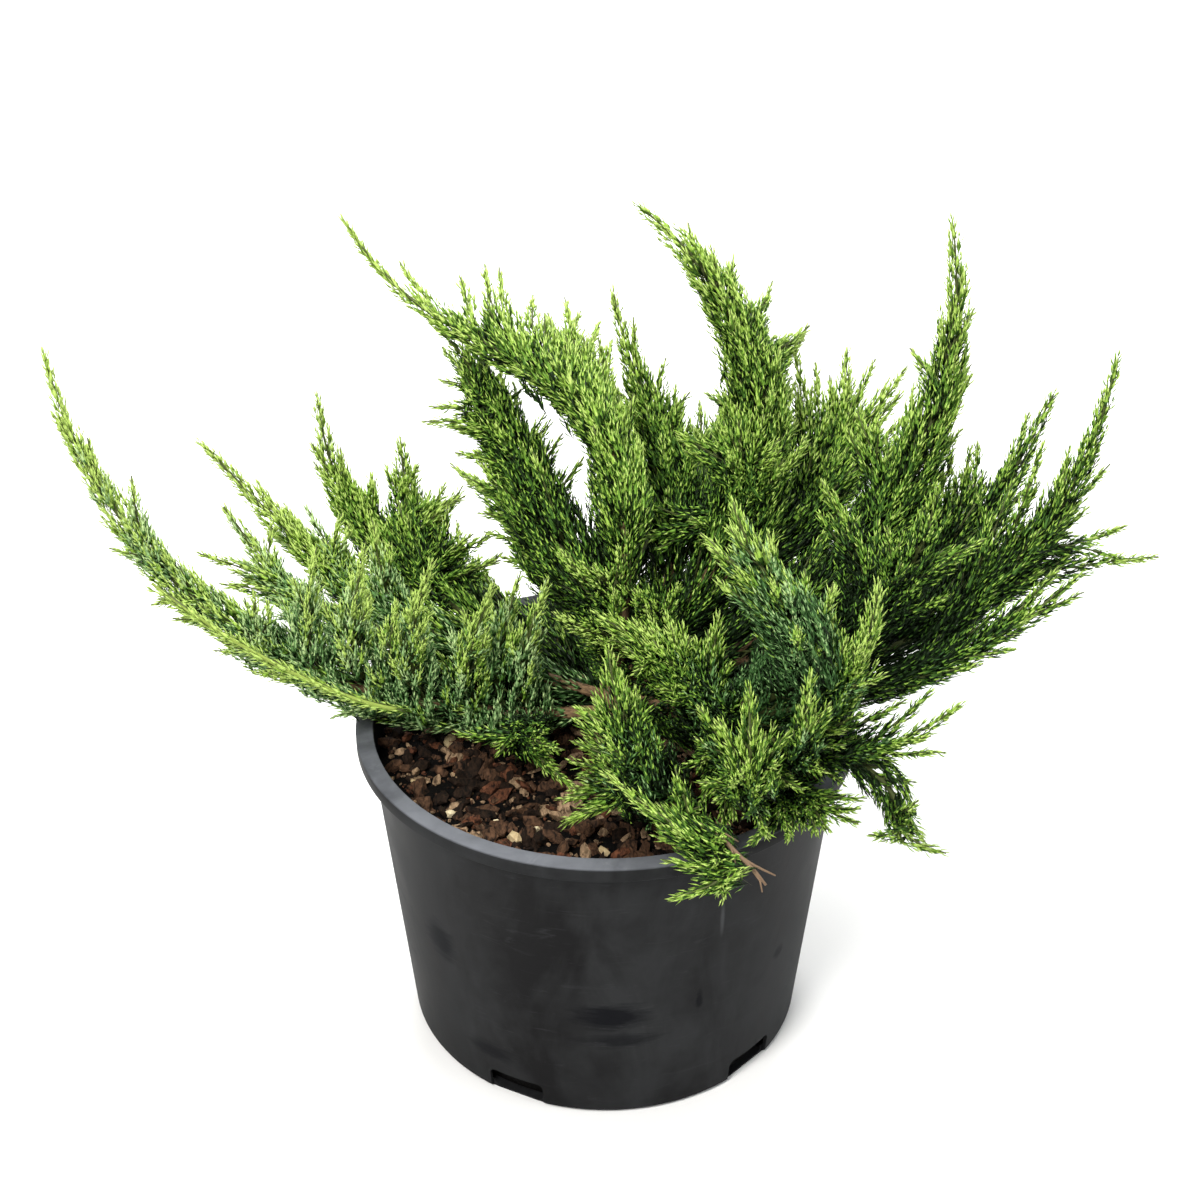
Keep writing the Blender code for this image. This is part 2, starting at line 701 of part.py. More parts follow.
def horn(mass, curve, parts, radius_at, sides, random, tip, foot=0):
    # one uneven tapering body round a curve, on a plain disc where "foot" gives its radius
    rings = []
    side = None
    for t in parts:
        centre = cubic(curve, t)
        ways = around(cubic_heading(curve, t), sides, side)
        side = ways[0]
        if foot and not rings:
            rings.append([centre + way * foot for way in ways])
            continue
        ring = []
        for way in ways:
            uneven = radius_at(t) * (1 - LEAST_DENT + DENTS * random.random())
            ring.append(centre + way * room(mass, centre, uneven, way))
        rings.append(ring)
    return loft(rings, tip)


def build_mass(mass):
    name, low, high = MASSES[mass]
    size = BOUGHS[name]
    curve = CURVES[name]
    random = np.random.default_rng(SEED + list(MASSES).index(mass))
    on_parent = mass == name and not size["bare"]
    first = low if on_parent else low + GAP / cubic_speed(curve, low)
    parts = first + (high - first) * np.linspace(0, 1, 5)
    if high == 1:
        parts = first + (high - first) * np.array([0, 0.14, 0.42, 0.78])
    foot = 0
    if mass == name:
        foot = MASS_FOOT if on_parent else wood_radius(name, low) + 1

    def radius_at(t):
        return size["full"] * mass_profile((t - size["bare"]) / (1 - size["bare"]))

    tip = curve[3] if high == 1 else None
    skin = horn(mass, curve, parts, radius_at, MASS_SIDES, random, tip, foot)
    body = add_object(mass, mesh_from(skin, mass), FOLIAGE)
    extras = []
    for fork, tip_place, radius in size["offshoots"]:
        if not low <= fork < high:
            continue
        shoot = offshoot_curve(curve, fork, tip_place)
        bm = horn(
            mass, shoot, (0.06, 0.4, 0.76), lambda s: radius * shoot_profile(s),
            OFFSHOOT_SIDES, random, shoot[3])
        extra = add_object(mass + "_offshoot", mesh_from(bm, mass + "_offshoot"), FOLIAGE, CUTTERS)
        cut_or_join(body, extra, "UNION")
        extras.append(extra)
    flatten(body)
    for extra in extras:
        bpy.data.objects.remove(extra, do_unlink=True)
    keep_largest(body)
    return body


# Clearances between neighbours

def enclosed(body):
    # six times the volume inside a closed body of triangles, from its vertices
    faces = {face for vert in body for face in vert.link_faces}
    corners = [[vert.co for vert in face.verts] for face in faces]
    return sum(a.dot(b.cross(c)) for a, b, c in corners)


def keep_largest(made):
    # drops what a cut has parted from the largest body
    bm = bmesh.new()
    bm.from_mesh(made.data)
    bmesh.ops.triangulate(bm, faces=bm.faces[:])
    waiting = set(bm.verts)
    bodies = []
    while waiting:
        edge = [waiting.pop()]
        body = set(edge)
        while edge:
            for link in edge.pop().link_edges:
                for vert in link.verts:
                    if vert in waiting:
                        waiting.discard(vert)
                        body.add(vert)
                        edge.append(vert)
        bodies.append(body)
    bodies.sort(key=enclosed)
    for body in bodies[:-1]:
        bmesh.ops.delete(bm, geom=list(body), context="VERTS")
    bm.to_mesh(made.data)
    bm.free()


def surface(made, growth):
    # a search tree over the solid's faces, grown outwards
    bm = bmesh.new()
    bm.from_mesh(made.data)
    bm.normal_update()
    for vert in bm.verts:
        vert.co += vert.normal * growth
    tree = BVHTree.FromBMesh(bm)
    bm.free()
    return tree


def grown_copy(made, growth):
    copy = add_object(made.name + "_grown", made.data.copy(), FOLIAGE, CUTTERS)
    bm = bmesh.new()
    bm.from_mesh(copy.data)
    bm.normal_update()
    for vert in bm.verts:
        vert.co += vert.normal * growth
    bm.to_mesh(copy.data)
    bm.free()
    return copy


def clear_of(made, earlier):
    # cuts the solid back, by a small gap, from each earlier one that it would touch
    for other in earlier:
        if not surface(made, 0).overlap(surface(other, GAP * MM)):
            continue
        cutter = grown_copy(other, GAP * 1.2 * MM)
        cut_or_join(made, cutter, "DIFFERENCE")
        flatten(made)
        bpy.data.objects.remove(cutter, do_unlink=True)
        keep_largest(made)


solids = [build_pot(), build_soil(), build_stem()]
for bough in BOUGHS:
    if BOUGHS[bough]["bare"]:
        limb = build_bough(bough)
        clear_of(limb, solids)
        solids.append(limb)
for mass in MASSES:
    foliage = build_mass(mass)
    clear_of(foliage, solids)
    solids.append(foliage)
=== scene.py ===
import json
import math

import bmesh
import bpy
import numpy as np
from mathutils import Matrix, Vector, noise

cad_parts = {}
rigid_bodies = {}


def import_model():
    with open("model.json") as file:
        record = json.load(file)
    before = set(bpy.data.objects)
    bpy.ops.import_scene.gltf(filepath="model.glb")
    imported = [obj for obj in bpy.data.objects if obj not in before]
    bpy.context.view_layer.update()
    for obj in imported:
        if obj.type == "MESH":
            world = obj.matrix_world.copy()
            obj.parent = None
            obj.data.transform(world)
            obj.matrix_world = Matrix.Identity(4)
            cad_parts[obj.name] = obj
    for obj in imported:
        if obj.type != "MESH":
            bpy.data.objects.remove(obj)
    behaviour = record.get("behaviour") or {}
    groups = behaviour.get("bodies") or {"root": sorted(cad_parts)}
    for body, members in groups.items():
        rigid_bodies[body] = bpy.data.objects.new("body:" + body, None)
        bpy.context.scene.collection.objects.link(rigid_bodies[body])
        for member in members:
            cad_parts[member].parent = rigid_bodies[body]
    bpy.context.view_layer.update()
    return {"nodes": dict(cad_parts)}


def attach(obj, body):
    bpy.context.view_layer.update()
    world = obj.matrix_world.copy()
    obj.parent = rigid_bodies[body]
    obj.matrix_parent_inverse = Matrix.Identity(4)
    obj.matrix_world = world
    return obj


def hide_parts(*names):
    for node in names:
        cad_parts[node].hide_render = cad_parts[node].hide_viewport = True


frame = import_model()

mm = 0.001
golden = math.radians(137.5)
print("frame: %d nodes" % len(frame["nodes"]))


# small helpers

def srgb(red, green, blue):
    parts = [v / 255 for v in (red, green, blue)]
    return tuple(v / 12.92 if v <= 0.04045 else ((v + 0.055) / 1.055) ** 2.4 for v in parts) + (1,)


def unit(v):
    v = np.asarray(v, float)
    return v / np.maximum(np.linalg.norm(v, axis=-1, keepdims=True), 1e-9)


def heading(azimuth, elevation):
    a, e = math.radians(azimuth), math.radians(elevation)
    return np.array([math.cos(e) * math.cos(a), math.cos(e) * math.sin(a), math.sin(e)])


def cubic(p, t):
    t = np.asarray(t, float)[..., None]
    s = 1 - t
    return s ** 3 * p[0] + 3 * s * s * t * p[1] + 3 * s * t * t * p[2] + t ** 3 * p[3]


def cubicHeading(p, t):
    t = np.asarray(t, float)[..., None]
    s = 1 - t
    return unit(s * s * (p[1] - p[0]) + 2 * s * t * (p[2] - p[1]) + t * t * (p[3] - p[2]))


def turnAbout(v, axis, angle):
    # Rodrigues' turn, row by row
    angle = np.asarray(angle, float)[..., None]
    along = np.sum(v * axis, axis=-1, keepdims=True)
    return v * np.cos(angle) + np.cross(axis, v) * np.sin(angle) + axis * along * (1 - np.cos(angle))


def anySide(way):
    # a unit way square to each row
    up = np.where(np.abs(way[..., 2:3]) > 0.9, (1.0, 0.0, 0.0), (0.0, 0.0, 1.0))
    return unit(np.cross(way, up))


def addPiece(name, mesh, *looks):
    piece = bpy.data.objects.new(name, mesh)
    bpy.context.scene.collection.objects.link(piece)
    for look in looks:
        mesh.materials.append(look)
    return piece


def pieceFromBmesh(name, bm, *looks, smooth=True):
    mesh = bpy.data.meshes.new(name)
    for face in bm.faces:
        face.smooth = smooth
    bm.to_mesh(mesh)
    bm.free()
    return addPiece(name, mesh, *looks)


def meshFromArrays(name, points, corners, sizes, tones=None):
    # one mesh from rows of points in mm, face corners and the corners of each face
    mesh = bpy.data.meshes.new(name)
    mesh.vertices.add(len(points))
    mesh.vertices.foreach_set("co", (points * mm).astype(np.float32).ravel())
    mesh.loops.add(len(corners))
    mesh.loops.foreach_set("vertex_index", corners.astype(np.int32))
    mesh.polygons.add(len(sizes))
    starts = np.concatenate([[0], np.cumsum(sizes)[:-1]])
    mesh.polygons.foreach_set("loop_start", starts.astype(np.int32))
    if tones is not None:
        mesh.polygons.foreach_set("material_index", tones.astype(np.int32))
    mesh.update(calc_edges=True)
    mesh.shade_smooth()
    return mesh


# shader wiring

class Wire:
    # a socket that takes part in sums

    def __init__(self, tree, socket):
        self.tree = tree
        self.socket = socket

    def sum(self, operation, first, second):
        node = self.tree.nodes.new("ShaderNodeMath")
        node.operation = operation
        for place, value in zip(node.inputs, (first, second)):
            if isinstance(value, Wire):
                self.tree.links.new(value.socket, place)
            else:
                place.default_value = value
        return Wire(self.tree, node.outputs[0])

    def __add__(self, other): return self.sum("ADD", self, other)
    def __radd__(self, other): return self.sum("ADD", other, self)
    def __sub__(self, other): return self.sum("SUBTRACT", self, other)
    def __rsub__(self, other): return self.sum("SUBTRACT", other, self)
    def __mul__(self, other): return self.sum("MULTIPLY", self, other)
    def __rmul__(self, other): return self.sum("MULTIPLY", other, self)
    def __pow__(self, other): return self.sum("POWER", self, other)
    def above(self, other): return self.sum("GREATER_THAN", self, other)


class Look:
    # a material and the nodes that feed its Principled shader

    def __init__(self, name, **fixed):
        self.material = bpy.data.materials.new(name)
        self.material.use_nodes = True
        self.tree = self.material.node_tree
        self.shader = self.tree.nodes["Principled BSDF"]
        for socket, value in fixed.items():
            self.shader.inputs[socket.replace("_", " ")].default_value = value
        self.material.diffuse_color = self.shader.inputs["Base Color"].default_value

    def node(self, kind, settings=None, sockets=None, out=0):
        node = self.tree.nodes.new("ShaderNode" + kind)
        for key, value in (settings or {}).items():
            if key == "stops":
                ramp = node.color_ramp.elements
                while len(ramp) < len(value):
                    ramp.new(0.5)
                for stop, (place, colour) in zip(ramp, value):
                    stop.position = place
                    stop.color = colour
            else:
                setattr(node, key, value)
        for key, value in (sockets or {}).items():
            if isinstance(value, Wire):
                self.tree.links.new(value.socket, node.inputs[key])
            else:
                node.inputs[key].default_value = value
        return Wire(self.tree, node.outputs[out])

    def feed(self, socket, wire):
        self.tree.links.new(wire.socket, self.shader.inputs[socket])

    def place(self, scale=(1, 1, 1), turn=(0, 0, 0), source="Object"):
        # object coordinates in metres, or the piece's own UV, scaled and turned
        if source == "UV":
            start = self.node("UVMap")
        else:
            start = self.node("TexCoord", out=3)
        return self.node("Mapping", {}, {"Vector": start, "Scale": scale, "Rotation": turn})

    def noise(self, where, scale, detail=4, rough=0.55, distortion=0):
        sockets = {"Vector": where, "Scale": scale, "Detail": detail, "Roughness": rough, "Distortion": distortion}
        return self.node("TexNoise", {}, sockets)

    def ramp(self, wire, *stops):
        # a number remade by stops of place and level
        return self.node("ValToRGB", {"stops": [(p, (v, v, v, 1)) for p, v in stops]}, {"Fac": wire})

    def colours(self, wire, *stops):
        return self.node("ValToRGB", {"stops": list(stops)}, {"Fac": wire})

    def mix(self, amount, first, second, blend="MIX"):
        return self.node(
            "Mix", {"data_type": "RGBA", "blend_type": blend}, {0: amount, 6: first, 7: second}, out=2)

    def bump(self, height, strength, distance, under=None):
        sockets = {"Height": height, "Strength": strength, "Distance": distance}
        if under:
            sockets["Normal"] = under
        return self.node("Bump", {}, sockets)


# camera, light and floor

view = {
    "place": (-0.003, -0.939, 0.828), "pitch": 59.4, "lens": 59.07,
    "floorColour": (245, 245, 244), "worldStrength": 0.3,
    # each lamp: name, place and aim in metres, size in metres, power, colour
    "lamps": [
        ("key", (-0.8, -1.4, 2.0), (0, 0, 0.22), 0.9, 62, (1.0, 0.985, 0.96)),
        ("fill", (1.7, -0.9, 1.2), (0, 0, 0.22), 1.6, 14, (0.96, 0.98, 1.0)),
        ("top", (0.1, 0.3, 2.1), (0, 0, 0.22), 1.8, 38, (1.0, 1.0, 1.0)),
        ("back", (0.3, 1.9, 1.3), (0, 0, 0.22), 1.6, 14, (1.0, 1.0, 1.0)),
        ("far", (0, 3.6, 2.4), (0, 3.4, 0), 3.0, 150, (1.0, 1.0, 1.0)),
    ],
}


def setView():
    scene = bpy.context.scene
    eye = bpy.data.cameras.new("camera")
    eye.sensor_width = 36
    eye.lens = view["lens"]
    camera = bpy.data.objects.new("camera", eye)
    camera.location = view["place"]
    camera.rotation_euler = (math.radians(view["pitch"]), 0, 0)
    scene.collection.objects.link(camera)
    scene.camera = camera
    for name, place, aim, size, power, colour in view["lamps"]:
        lamp = bpy.data.lights.new(name, "AREA")
        lamp.shape = "DISK"
        lamp.size = size
        lamp.energy = power
        lamp.color = colour
        holder = bpy.data.objects.new(name, lamp)
        holder.location = place
        way = Vector(aim) - Vector(place)
        holder.rotation_euler = way.to_track_quat("-Z", "Y").to_euler()
        scene.collection.objects.link(holder)
    world = bpy.data.worlds.new("studio")
    world.use_nodes = True
    world.node_tree.nodes["Background"].inputs["Color"].default_value = (1, 1, 1, 1)
    world.node_tree.nodes["Background"].inputs["Strength"].default_value = view["worldStrength"]
    scene.world = world
    scene.view_settings.view_transform = "Standard"
    bm = bmesh.new()
    bmesh.ops.create_circle(bm, cap_ends=True, segments=64, radius=6)
    paper = Look("floorPaper", Base_Color=srgb(*view["floorColour"]), Roughness=0.9)
    floor = pieceFromBmesh("floor", bm, paper.material, smooth=False)
    print("view: camera, %d lamps and the floor" % len(view["lamps"]))


setView()


# pot sizes in mm and degrees

pot = {
    "height": 196.5, "rimRadius": 142.5, "rimInner": 132.5, "lipHeight": 8.4, "lip": 2.2,
    "wallTop": 135.2, "foot": 116.6, "wall": 2.2, "floor": 3.0, "round": 1.0, "sides": 180,
    "slots": 5, "slotFirst": -116,
    # the cuts that make each slot: foot, top, depth and width
    "slotCuts": [(-5, 17, 6.5, 34), (1.2, 16, 12, 32)],
    # dark rubbed patches and a pale streak on the wall: centre, half sizes and strength
    "smudges": [
        ((-93, -86, 102), (13, 15, 17), 0.9), ((4, -124, 79), (24, 16, 12), 0.85), ((8, -122, 60), (26, 14, 6), 0.6),
        ((-66, -100, 33), (19, 15, 7), 0.7), ((52, -113, 82), (2, 5, 9), 0.8), ((98, -77, 86), (5, 5, 6), 0.6),
        ((63, -114, 141), (1.6, 5, 17), -0.5),
    ],
}


# the plant's plan: the same boughs as the frame's solids, in mm and degrees

plan = {
    "soilTop": 174.5, "stemFoot": (3, -2), "stemFork": (5, 2, 212),
    "stemFootRadius": 13, "stemRadius": 8, "flareHeight": 14, "flareLobes": 5, "tipWood": 0.4,
}

# "blue" is the plume's own tint: 1 is blue-green, 0 is grass-green. "light" makes a plume paler at 1 and darker at 0:
# partly its own paleness, partly painted light, with the boughs on the left painted lit and those on the right painted
# in shade
boughs = {
    "left_arm": dict(
        parent="stem", fork=199, start=(180, -6), tip=(-284, -20, 433), end=(179, 86),
        pull=(0.52, 0.32), bare=0.13, girth=4.0, full=20, split=(0.44, 0.70), blue=0.85, light=1.07,
        offshoots=[
            (0.82, (-284, -22, 398), 5), (0.76, (-268, -20, 382), 7), (0.64, (-248, -20, 360), 9),
            (0.62, (-262, -30, 322), 8), (0.54, (-243, -34, 290), 8), (0.47, (-233, -32, 280), 6),
            (0.42, (-189, -24, 291), 13), (0.38, (-212, -34, 261), 7), (0.33, (-155, -16, 315), 16),
            (0.28, (-193, -32, 246), 7), (0.26, (-128, -20, 320), 18), (0.22, (-152, -36, 218), 7),
            (0.22, (-113, -20, 285), 14), (0.19, (-92, -24, 313), 18), (0.13, (-60, -20, 296), 17),
            (0.10, (-47, 10, 285), 20), (0.07, (-31, -14, 295), 17)],
    ),
    "left_low": dict(
        parent="stem", fork=207, start=(164, 8), tip=(-230, 60, 343), end=(174, 50),
        pull=(0.56, 0.38), bare=0.28, girth=3.4, full=21, blue=0.65, light=1.07,
        offshoots=[
            (0.62, (-199, 62, 315), 8), (0.56, (-184, 58, 303), 8), (0.55, (-150, 50, 300), 14),
            (0.46, (-171, 56, 303), 11), (0.36, (-132, 46, 298), 13)],
    ),
    "left_low_front": dict(
        parent="left_low", fork=0.24, start=(184, 4), tip=(-216, 40, 313), end=(162, 56),
        pull=(0.53, 0.45), bare=0, girth=2.4, full=18, blue=0.8, light=1.07,
        offshoots=[
            (0.72, (-188, 40, 300), 8), (0.60, (-226, 12, 296), 9), (0.60, (-202, 34, 300), 7),
            (0.54, (-216, 14, 275), 11)],
    ),
    "left_back": dict(
        parent="left_low", fork=0.10, start=(140, 20), tip=(-168, 110, 348), end=(158, 88),
        pull=(0.58, 0.46), bare=0.26, girth=3.2, full=25, blue=0.2, light=0.75,
        offshoots=[
            (0.60, (-157, 112, 312), 10), (0.50, (-140, 110, 296), 13), (0.66, (-172, 98, 322), 8),
            (0.30, (-122, 90, 288), 14)],
    ),
    "left_spire": dict(
        parent="left_back", fork=0.23, start=(128, 36), tip=(-122, 120, 317), end=(130, 86),
        pull=(0.66, 0.50), bare=0, girth=2.4, full=24, blue=0.2, light=0.65,
        offshoots=[
            (0.55, (-110, 100, 307), 8), (0.36, (-83, 98, 286), 13), (0.30, (-87, 94, 286), 18),
            (0.24, (-93, 90, 288), 17), (0.10, (-77, 74, 274), 19), (0.03, (-61, 60, 264), 17)],
    ),
    "upper_left": dict(
        parent="stem", fork=214, start=(46, 79), tip=(-144, 90, 463), end=(167, 61),
        pull=(0.83, 0.47), bare=0.28, girth=3.8, full=16, blue=0.1, light=0.74,
        offshoots=[
            (0.72, (-115, 100, 433), 7), (0.62, (-82, 108, 421), 11), (0.56, (-68, 110, 427), 11),
            (0.52, (-60, 112, 425), 9), (0.48, (-41, 112, 408), 14), (0.42, (-14, 112, 398), 15),
            (0.36, (-3, 108, 393), 12), (0.34, (-33, 112, 397), 14), (0.32, (-23, 108, 408), 14),
            (0.30, (4, 104, 384), 12), (0.20, (-13, 100, 379), 14), (0.16, (-4, 100, 387), 18),
            (0.06, (-7, -14, 302), 20), (0.03, (-19, -30, 272), 20)],
    ),
    "upper_left_inner": dict(
        parent="upper_left", fork=0.06, start=(160, 39), tip=(-89, 74, 398), end=(205, 44),
        pull=(0.40, 0.24), bare=0.20, girth=3.2, full=31, blue=0.15, light=0.5,
        offshoots=[
            (0.84, (-78, 84, 393), 8), (0.76, (-67, 86, 385), 11), (0.70, (-57, 84, 374), 13),
            (0.70, (-93, 64, 377), 8), (0.64, (-45, 80, 365), 12), (0.62, (-98, 54, 365), 9),
            (0.56, (-102, 52, 357), 9), (0.54, (-83, 50, 356), 14), (0.46, (-34, 74, 352), 14),
            (0.44, (-84, 46, 341), 13), (0.38, (-24, 66, 343), 14), (0.36, (-78, 46, 321), 14),
            (0.30, (-12, 60, 331), 13), (0.26, (-72, 44, 304), 13), (0.22, (-31, 46, 312), 14),
            (0.16, (-69, 42, 293), 11), (0.08, (-60, 40, 278), 13), (0.04, (-47, 34, 268), 14)],
    ),
    "centre_left": dict(
        parent="top", fork=0.07, start=(66, 54), tip=(4, 110, 414), end=(140, 78),
        pull=(0.68, 0.50), bare=0.24, girth=3.2, full=22, blue=0.15, light=0.6,
        offshoots=[
            (0.70, (16, 108, 396), 7), (0.58, (35, 110, 370), 11), (0.50, (49, 104, 351), 9),
            (0.42, (2, 92, 362), 14), (0.40, (41, 104, 356), 12), (0.30, (48, 80, 345), 15),
            (0.22, (-4, 95, 353), 16)],
    ),
    "top": dict(
        parent="stem", fork=212, start=(30, 34), tip=(15, 100, 467), end=(172, 35),
        pull=(0.60, 0.37), bare=0.22, girth=4.0, full=32, blue=0.1, light=0.66,
        offshoots=[
            (0.82, (46, 108, 452), 6), (0.70, (71, 130, 421), 12), (0.62, (96, 140, 395), 14),
            (0.54, (120, 138, 375), 16), (0.46, (87, 118, 397), 12), (0.44, (57, 104, 351), 12),
            (0.40, (105, 130, 374), 19), (0.36, (113, 132, 344), 18), (0.30, (114, 110, 330), 20),
            (0.06, (15, -18, 290), 20), (0.03, (2, -34, 268), 18)],
    ),
    "top_right": dict(
        parent="top", fork=0.14, start=(30, 20), tip=(145, 150, 361), end=(80, 64),
        pull=(0.54, 0.52), bare=0.22, girth=3.2, full=32, blue=0.15, light=0.5,
        offshoots=[
            (0.68, (162, 150, 352), 11), (0.62, (134, 140, 346), 12), (0.58, (154, 144, 338), 13),
            (0.55, (178, 134, 338), 15), (0.52, (180, 140, 352), 11), (0.48, (170, 140, 344), 15),
            (0.40, (125, 140, 354), 16), (0.36, (184, 126, 331), 15), (0.30, (112, 140, 365), 18),
            (0.30, (165, 110, 317), 17)],
    ),
    "centre": dict(
        parent="top", fork=0.19, start=(52, 30), tip=(72, 44, 372), end=(110, 76),
        pull=(0.55, 0.45), bare=0, girth=2.8, full=30, blue=0.35, light=0.52,
        offshoots=[(0.55, (38, 54, 350), 15), (0.55, (96, 40, 352), 15), (0.20, (19, 20, 300), 20)],
    ),
    "right_tall": dict(
        parent="stem", fork=210, start=(8, 8), tip=(188, 90, 464), end=(132, 72),
        pull=(0.42, 0.38), bare=0.22, girth=3.8, full=30, blue=0.1, light=0.4,
        offshoots=[
            (0.82, (198, 94, 432), 5), (0.76, (208, 99, 405), 7), (0.70, (172, 92, 384), 9),
            (0.62, (208, 92, 374), 10), (0.50, (179, 84, 355), 13), (0.48, (140, 62, 360), 16),
            (0.46, (177, 96, 361), 13), (0.42, (203, 74, 342), 19)],
    ),
    "right_upper": dict(
        parent="right_tall", fork=0.10, start=(6, 8), tip=(258, 90, 361), end=(20, 66),
        pull=(0.57, 0.40), bare=0.24, girth=3.4, full=29, blue=0.3, light=0.08,
        offshoots=[
            (0.72, (244, 92, 344), 6), (0.60, (234, 76, 324), 6), (0.54, (213, 76, 334), 15),
            (0.42, (209, 72, 333), 16), (0.34, (214, 50, 315), 18), (0.34, (197, 66, 335), 19)],
    ),
    "right_spire": dict(
        parent="stem", fork=203, start=(-12, 8), tip=(270, 20, 414), end=(5, 88),
        pull=(0.48, 0.40), bare=0.20, girth=3.8, full=24, split=(0.66,), blue=0.25, light=0.08,
        offshoots=[
            (0.80, (268, 22, 388), 6), (0.70, (252, 24, 356), 10), (0.64, (275, 22, 346), 9),
            (0.64, (293, 18, 287), 9), (0.56, (268, 26, 317), 10), (0.56, (294, 36, 300), 8),
            (0.53, (309, 20, 289), 10), (0.50, (237, 20, 361), 7), (0.46, (238, 24, 334), 12),
            (0.44, (224, 24, 336), 18)],
    ),
    "mid_right": dict(
        parent="right_spire", fork=0.16, start=(2, 44), tip=(174, -20, 357), end=(15, 88),
        pull=(0.42, 0.50), bare=0, girth=3.0, full=32, blue=0.5, light=0.1,
        offshoots=[(0.55, (148, -28, 334), 16), (0.60, (202, -20, 322), 13), (0.45, (116, 6, 344), 18)],
    ),
    "right_low": dict(
        parent="right_spire", fork=0.05, start=(-36, 10), tip=(257, -20, 303), end=(10, 47),
        pull=(0.34, 0.35), bare=0.22, girth=3.0, full=15, blue=0.4, light=0.04,
        offshoots=[
            (0.78, (258, -24, 292), 6), (0.72, (246, -12, 301), 6), (0.68, (233, -28, 282), 5),
            (0.62, (221, -40, 266), 9), (0.60, (237, -12, 287), 8), (0.55, (221, -12, 280), 8),
            (0.50, (203, -46, 260), 9)],
    ),
    "right_front": dict(
        parent="stem", fork=194, start=(-27, 22), tip=(184, -100, 272), end=(-5, 46),
        pull=(0.50, 0.48), bare=0.30, girth=3.2, full=19, blue=0.55, light=0.1,
        offshoots=[
            (0.66, (170, -84, 269), 8), (0.55, (167, -104, 253), 8), (0.50, (174, -110, 247), 6),
            (0.45, (155, -90, 266), 11), (0.45, (124, -112, 227), 12), (0.40, (132, -100, 265), 13)],
    ),
    "right_droop": dict(
        parent="right_front", fork=0.62, start=(-20, -10), tip=(182, -112, 183), end=(-14, -5),
        pull=(0.80, 0.60), bare=0, girth=2.0, full=15, blue=0.3, light=0.3,
        offshoots=[(0.45, (162, -112, 218), 8), (0.60, (136, -124, 205), 7)],
    ),
    "skirt": dict(
        parent="right_front", fork=0.18, start=(-62, 2), tip=(132, -122, 210), end=(-45, 8),
        pull=(0.45, 0.35), bare=0, girth=2.2, full=16, blue=0.5, light=0.4,
        offshoots=[
            (0.72, (132, -118, 217), 6), (0.66, (115, -130, 211), 9), (0.62, (108, -136, 213), 11),
            (0.58, (92, -138, 211), 10), (0.55, (136, -110, 218), 9), (0.52, (72, -141, 211), 10),
            (0.50, (88, -128, 220), 11), (0.35, (94, -140, 216), 10)],
    ),
    "front_right": dict(
        parent="stem", fork=208, start=(-42, 16), tip=(136, -90, 340), end=(-62, 88),
        pull=(0.56, 0.50), bare=0.30, girth=3.6, full=26, blue=0.55, light=0.67,
        offshoots=[(0.60, (114, -82, 318), 14), (0.66, (128, -100, 306), 11)],
    ),
    "big_plume": dict(
        parent="front_right", fork=0.26, start=(-30, 30), tip=(62, -70, 375), end=(121, 60),
        pull=(0.74, 0.45), bare=0, girth=2.8, full=32, blue=0.85, light=0.46,
        offshoots=[
            (0.60, (76, -86, 340), 14), (0.55, (98, -72, 326), 15), (0.50, (48, -60, 348), 18),
            (0.35, (65, -70, 338), 18), (0.30, (109, -90, 302), 16)],
    ),
    "front_lean": dict(
        parent="front_right", fork=0.17, start=(-56, 20), tip=(-7, -44, 292), end=(160, 24),
        pull=(0.80, 0.38), bare=0, girth=2.4, full=24, blue=0.55, light=0.62,
        offshoots=[
            (0.55, (20, -62, 294), 14), (0.48, (44, -66, 290), 15), (0.62, (14, -76, 272), 11),
            (0.35, (31, -50, 295), 12), (0.25, (59, -60, 301), 14), (0.30, (26, -80, 266), 14)],
    ),
    "front_plume": dict(
        parent="front_right", fork=0.22, start=(-66, 4), tip=(71, -120, 298), end=(92, 72),
        pull=(0.66, 0.80), bare=0, girth=2.4, full=26, blue=0.6, light=0.57,
        offshoots=[
            (0.55, (56, -122, 276), 13), (0.55, (92, -120, 268), 13), (0.42, (46, -132, 244), 13),
            (0.30, (47, -100, 269), 15), (0.16, (40, -112, 241), 14), (0.10, (48, -122, 222), 15),
            (0.08, (65, -134, 221), 14), (0.06, (59, -140, 214), 11)],
    ),
    "front_plume_outer": dict(
        parent="front_right", fork=0.28, start=(-50, 2), tip=(101, -120, 304), end=(-60, 88),
        pull=(0.60, 0.56), bare=0, girth=2.2, full=19, blue=0.6, light=0.57,
        offshoots=[(0.55, (113, -116, 282), 10)],
    ),
    "front_low": dict(
        parent="stem", fork=196, start=(-78, 10), tip=(29, -178, 206), end=(188, -12),
        pull=(1.05, 0.35), bare=0.42, girth=3.0, full=12, blue=0.1, light=0.5,
        offshoots=[
            (0.76, (71, -174, 223), 6), (0.60, (28, -160, 217), 11), (0.54, (40, -168, 218), 12),
            (0.46, (-3, -132, 251), 10), (0.44, (14, -138, 237), 12), (0.42, (23, -142, 218), 12),
            (0.34, (35, -124, 247), 12), (0.30, (48, -128, 226), 12)],
    ),
    "front_spire": dict(
        parent="front_low", fork=0.14, start=(-80, 12), tip=(1, -90, 299), end=(120, 80),
        pull=(0.62, 0.55), bare=0, girth=2.4, full=28, blue=0.65, light=0.3,
        offshoots=[
            (0.60, (24, -96, 266), 12), (0.55, (-18, -90, 262), 12), (0.45, (28, -104, 242), 12),
            (0.42, (-8, -86, 269), 13), (0.34, (18, -90, 266), 13), (0.30, (-18, -88, 239), 13),
            (0.25, (-16, -80, 211), 11), (0.22, (-24, -104, 198), 9), (0.20, (-24, -112, 201), 9),
            (0.16, (-17, -80, 248), 14), (0.14, (-21, -80, 201), 12), (0.12, (-3, -100, 245), 15),
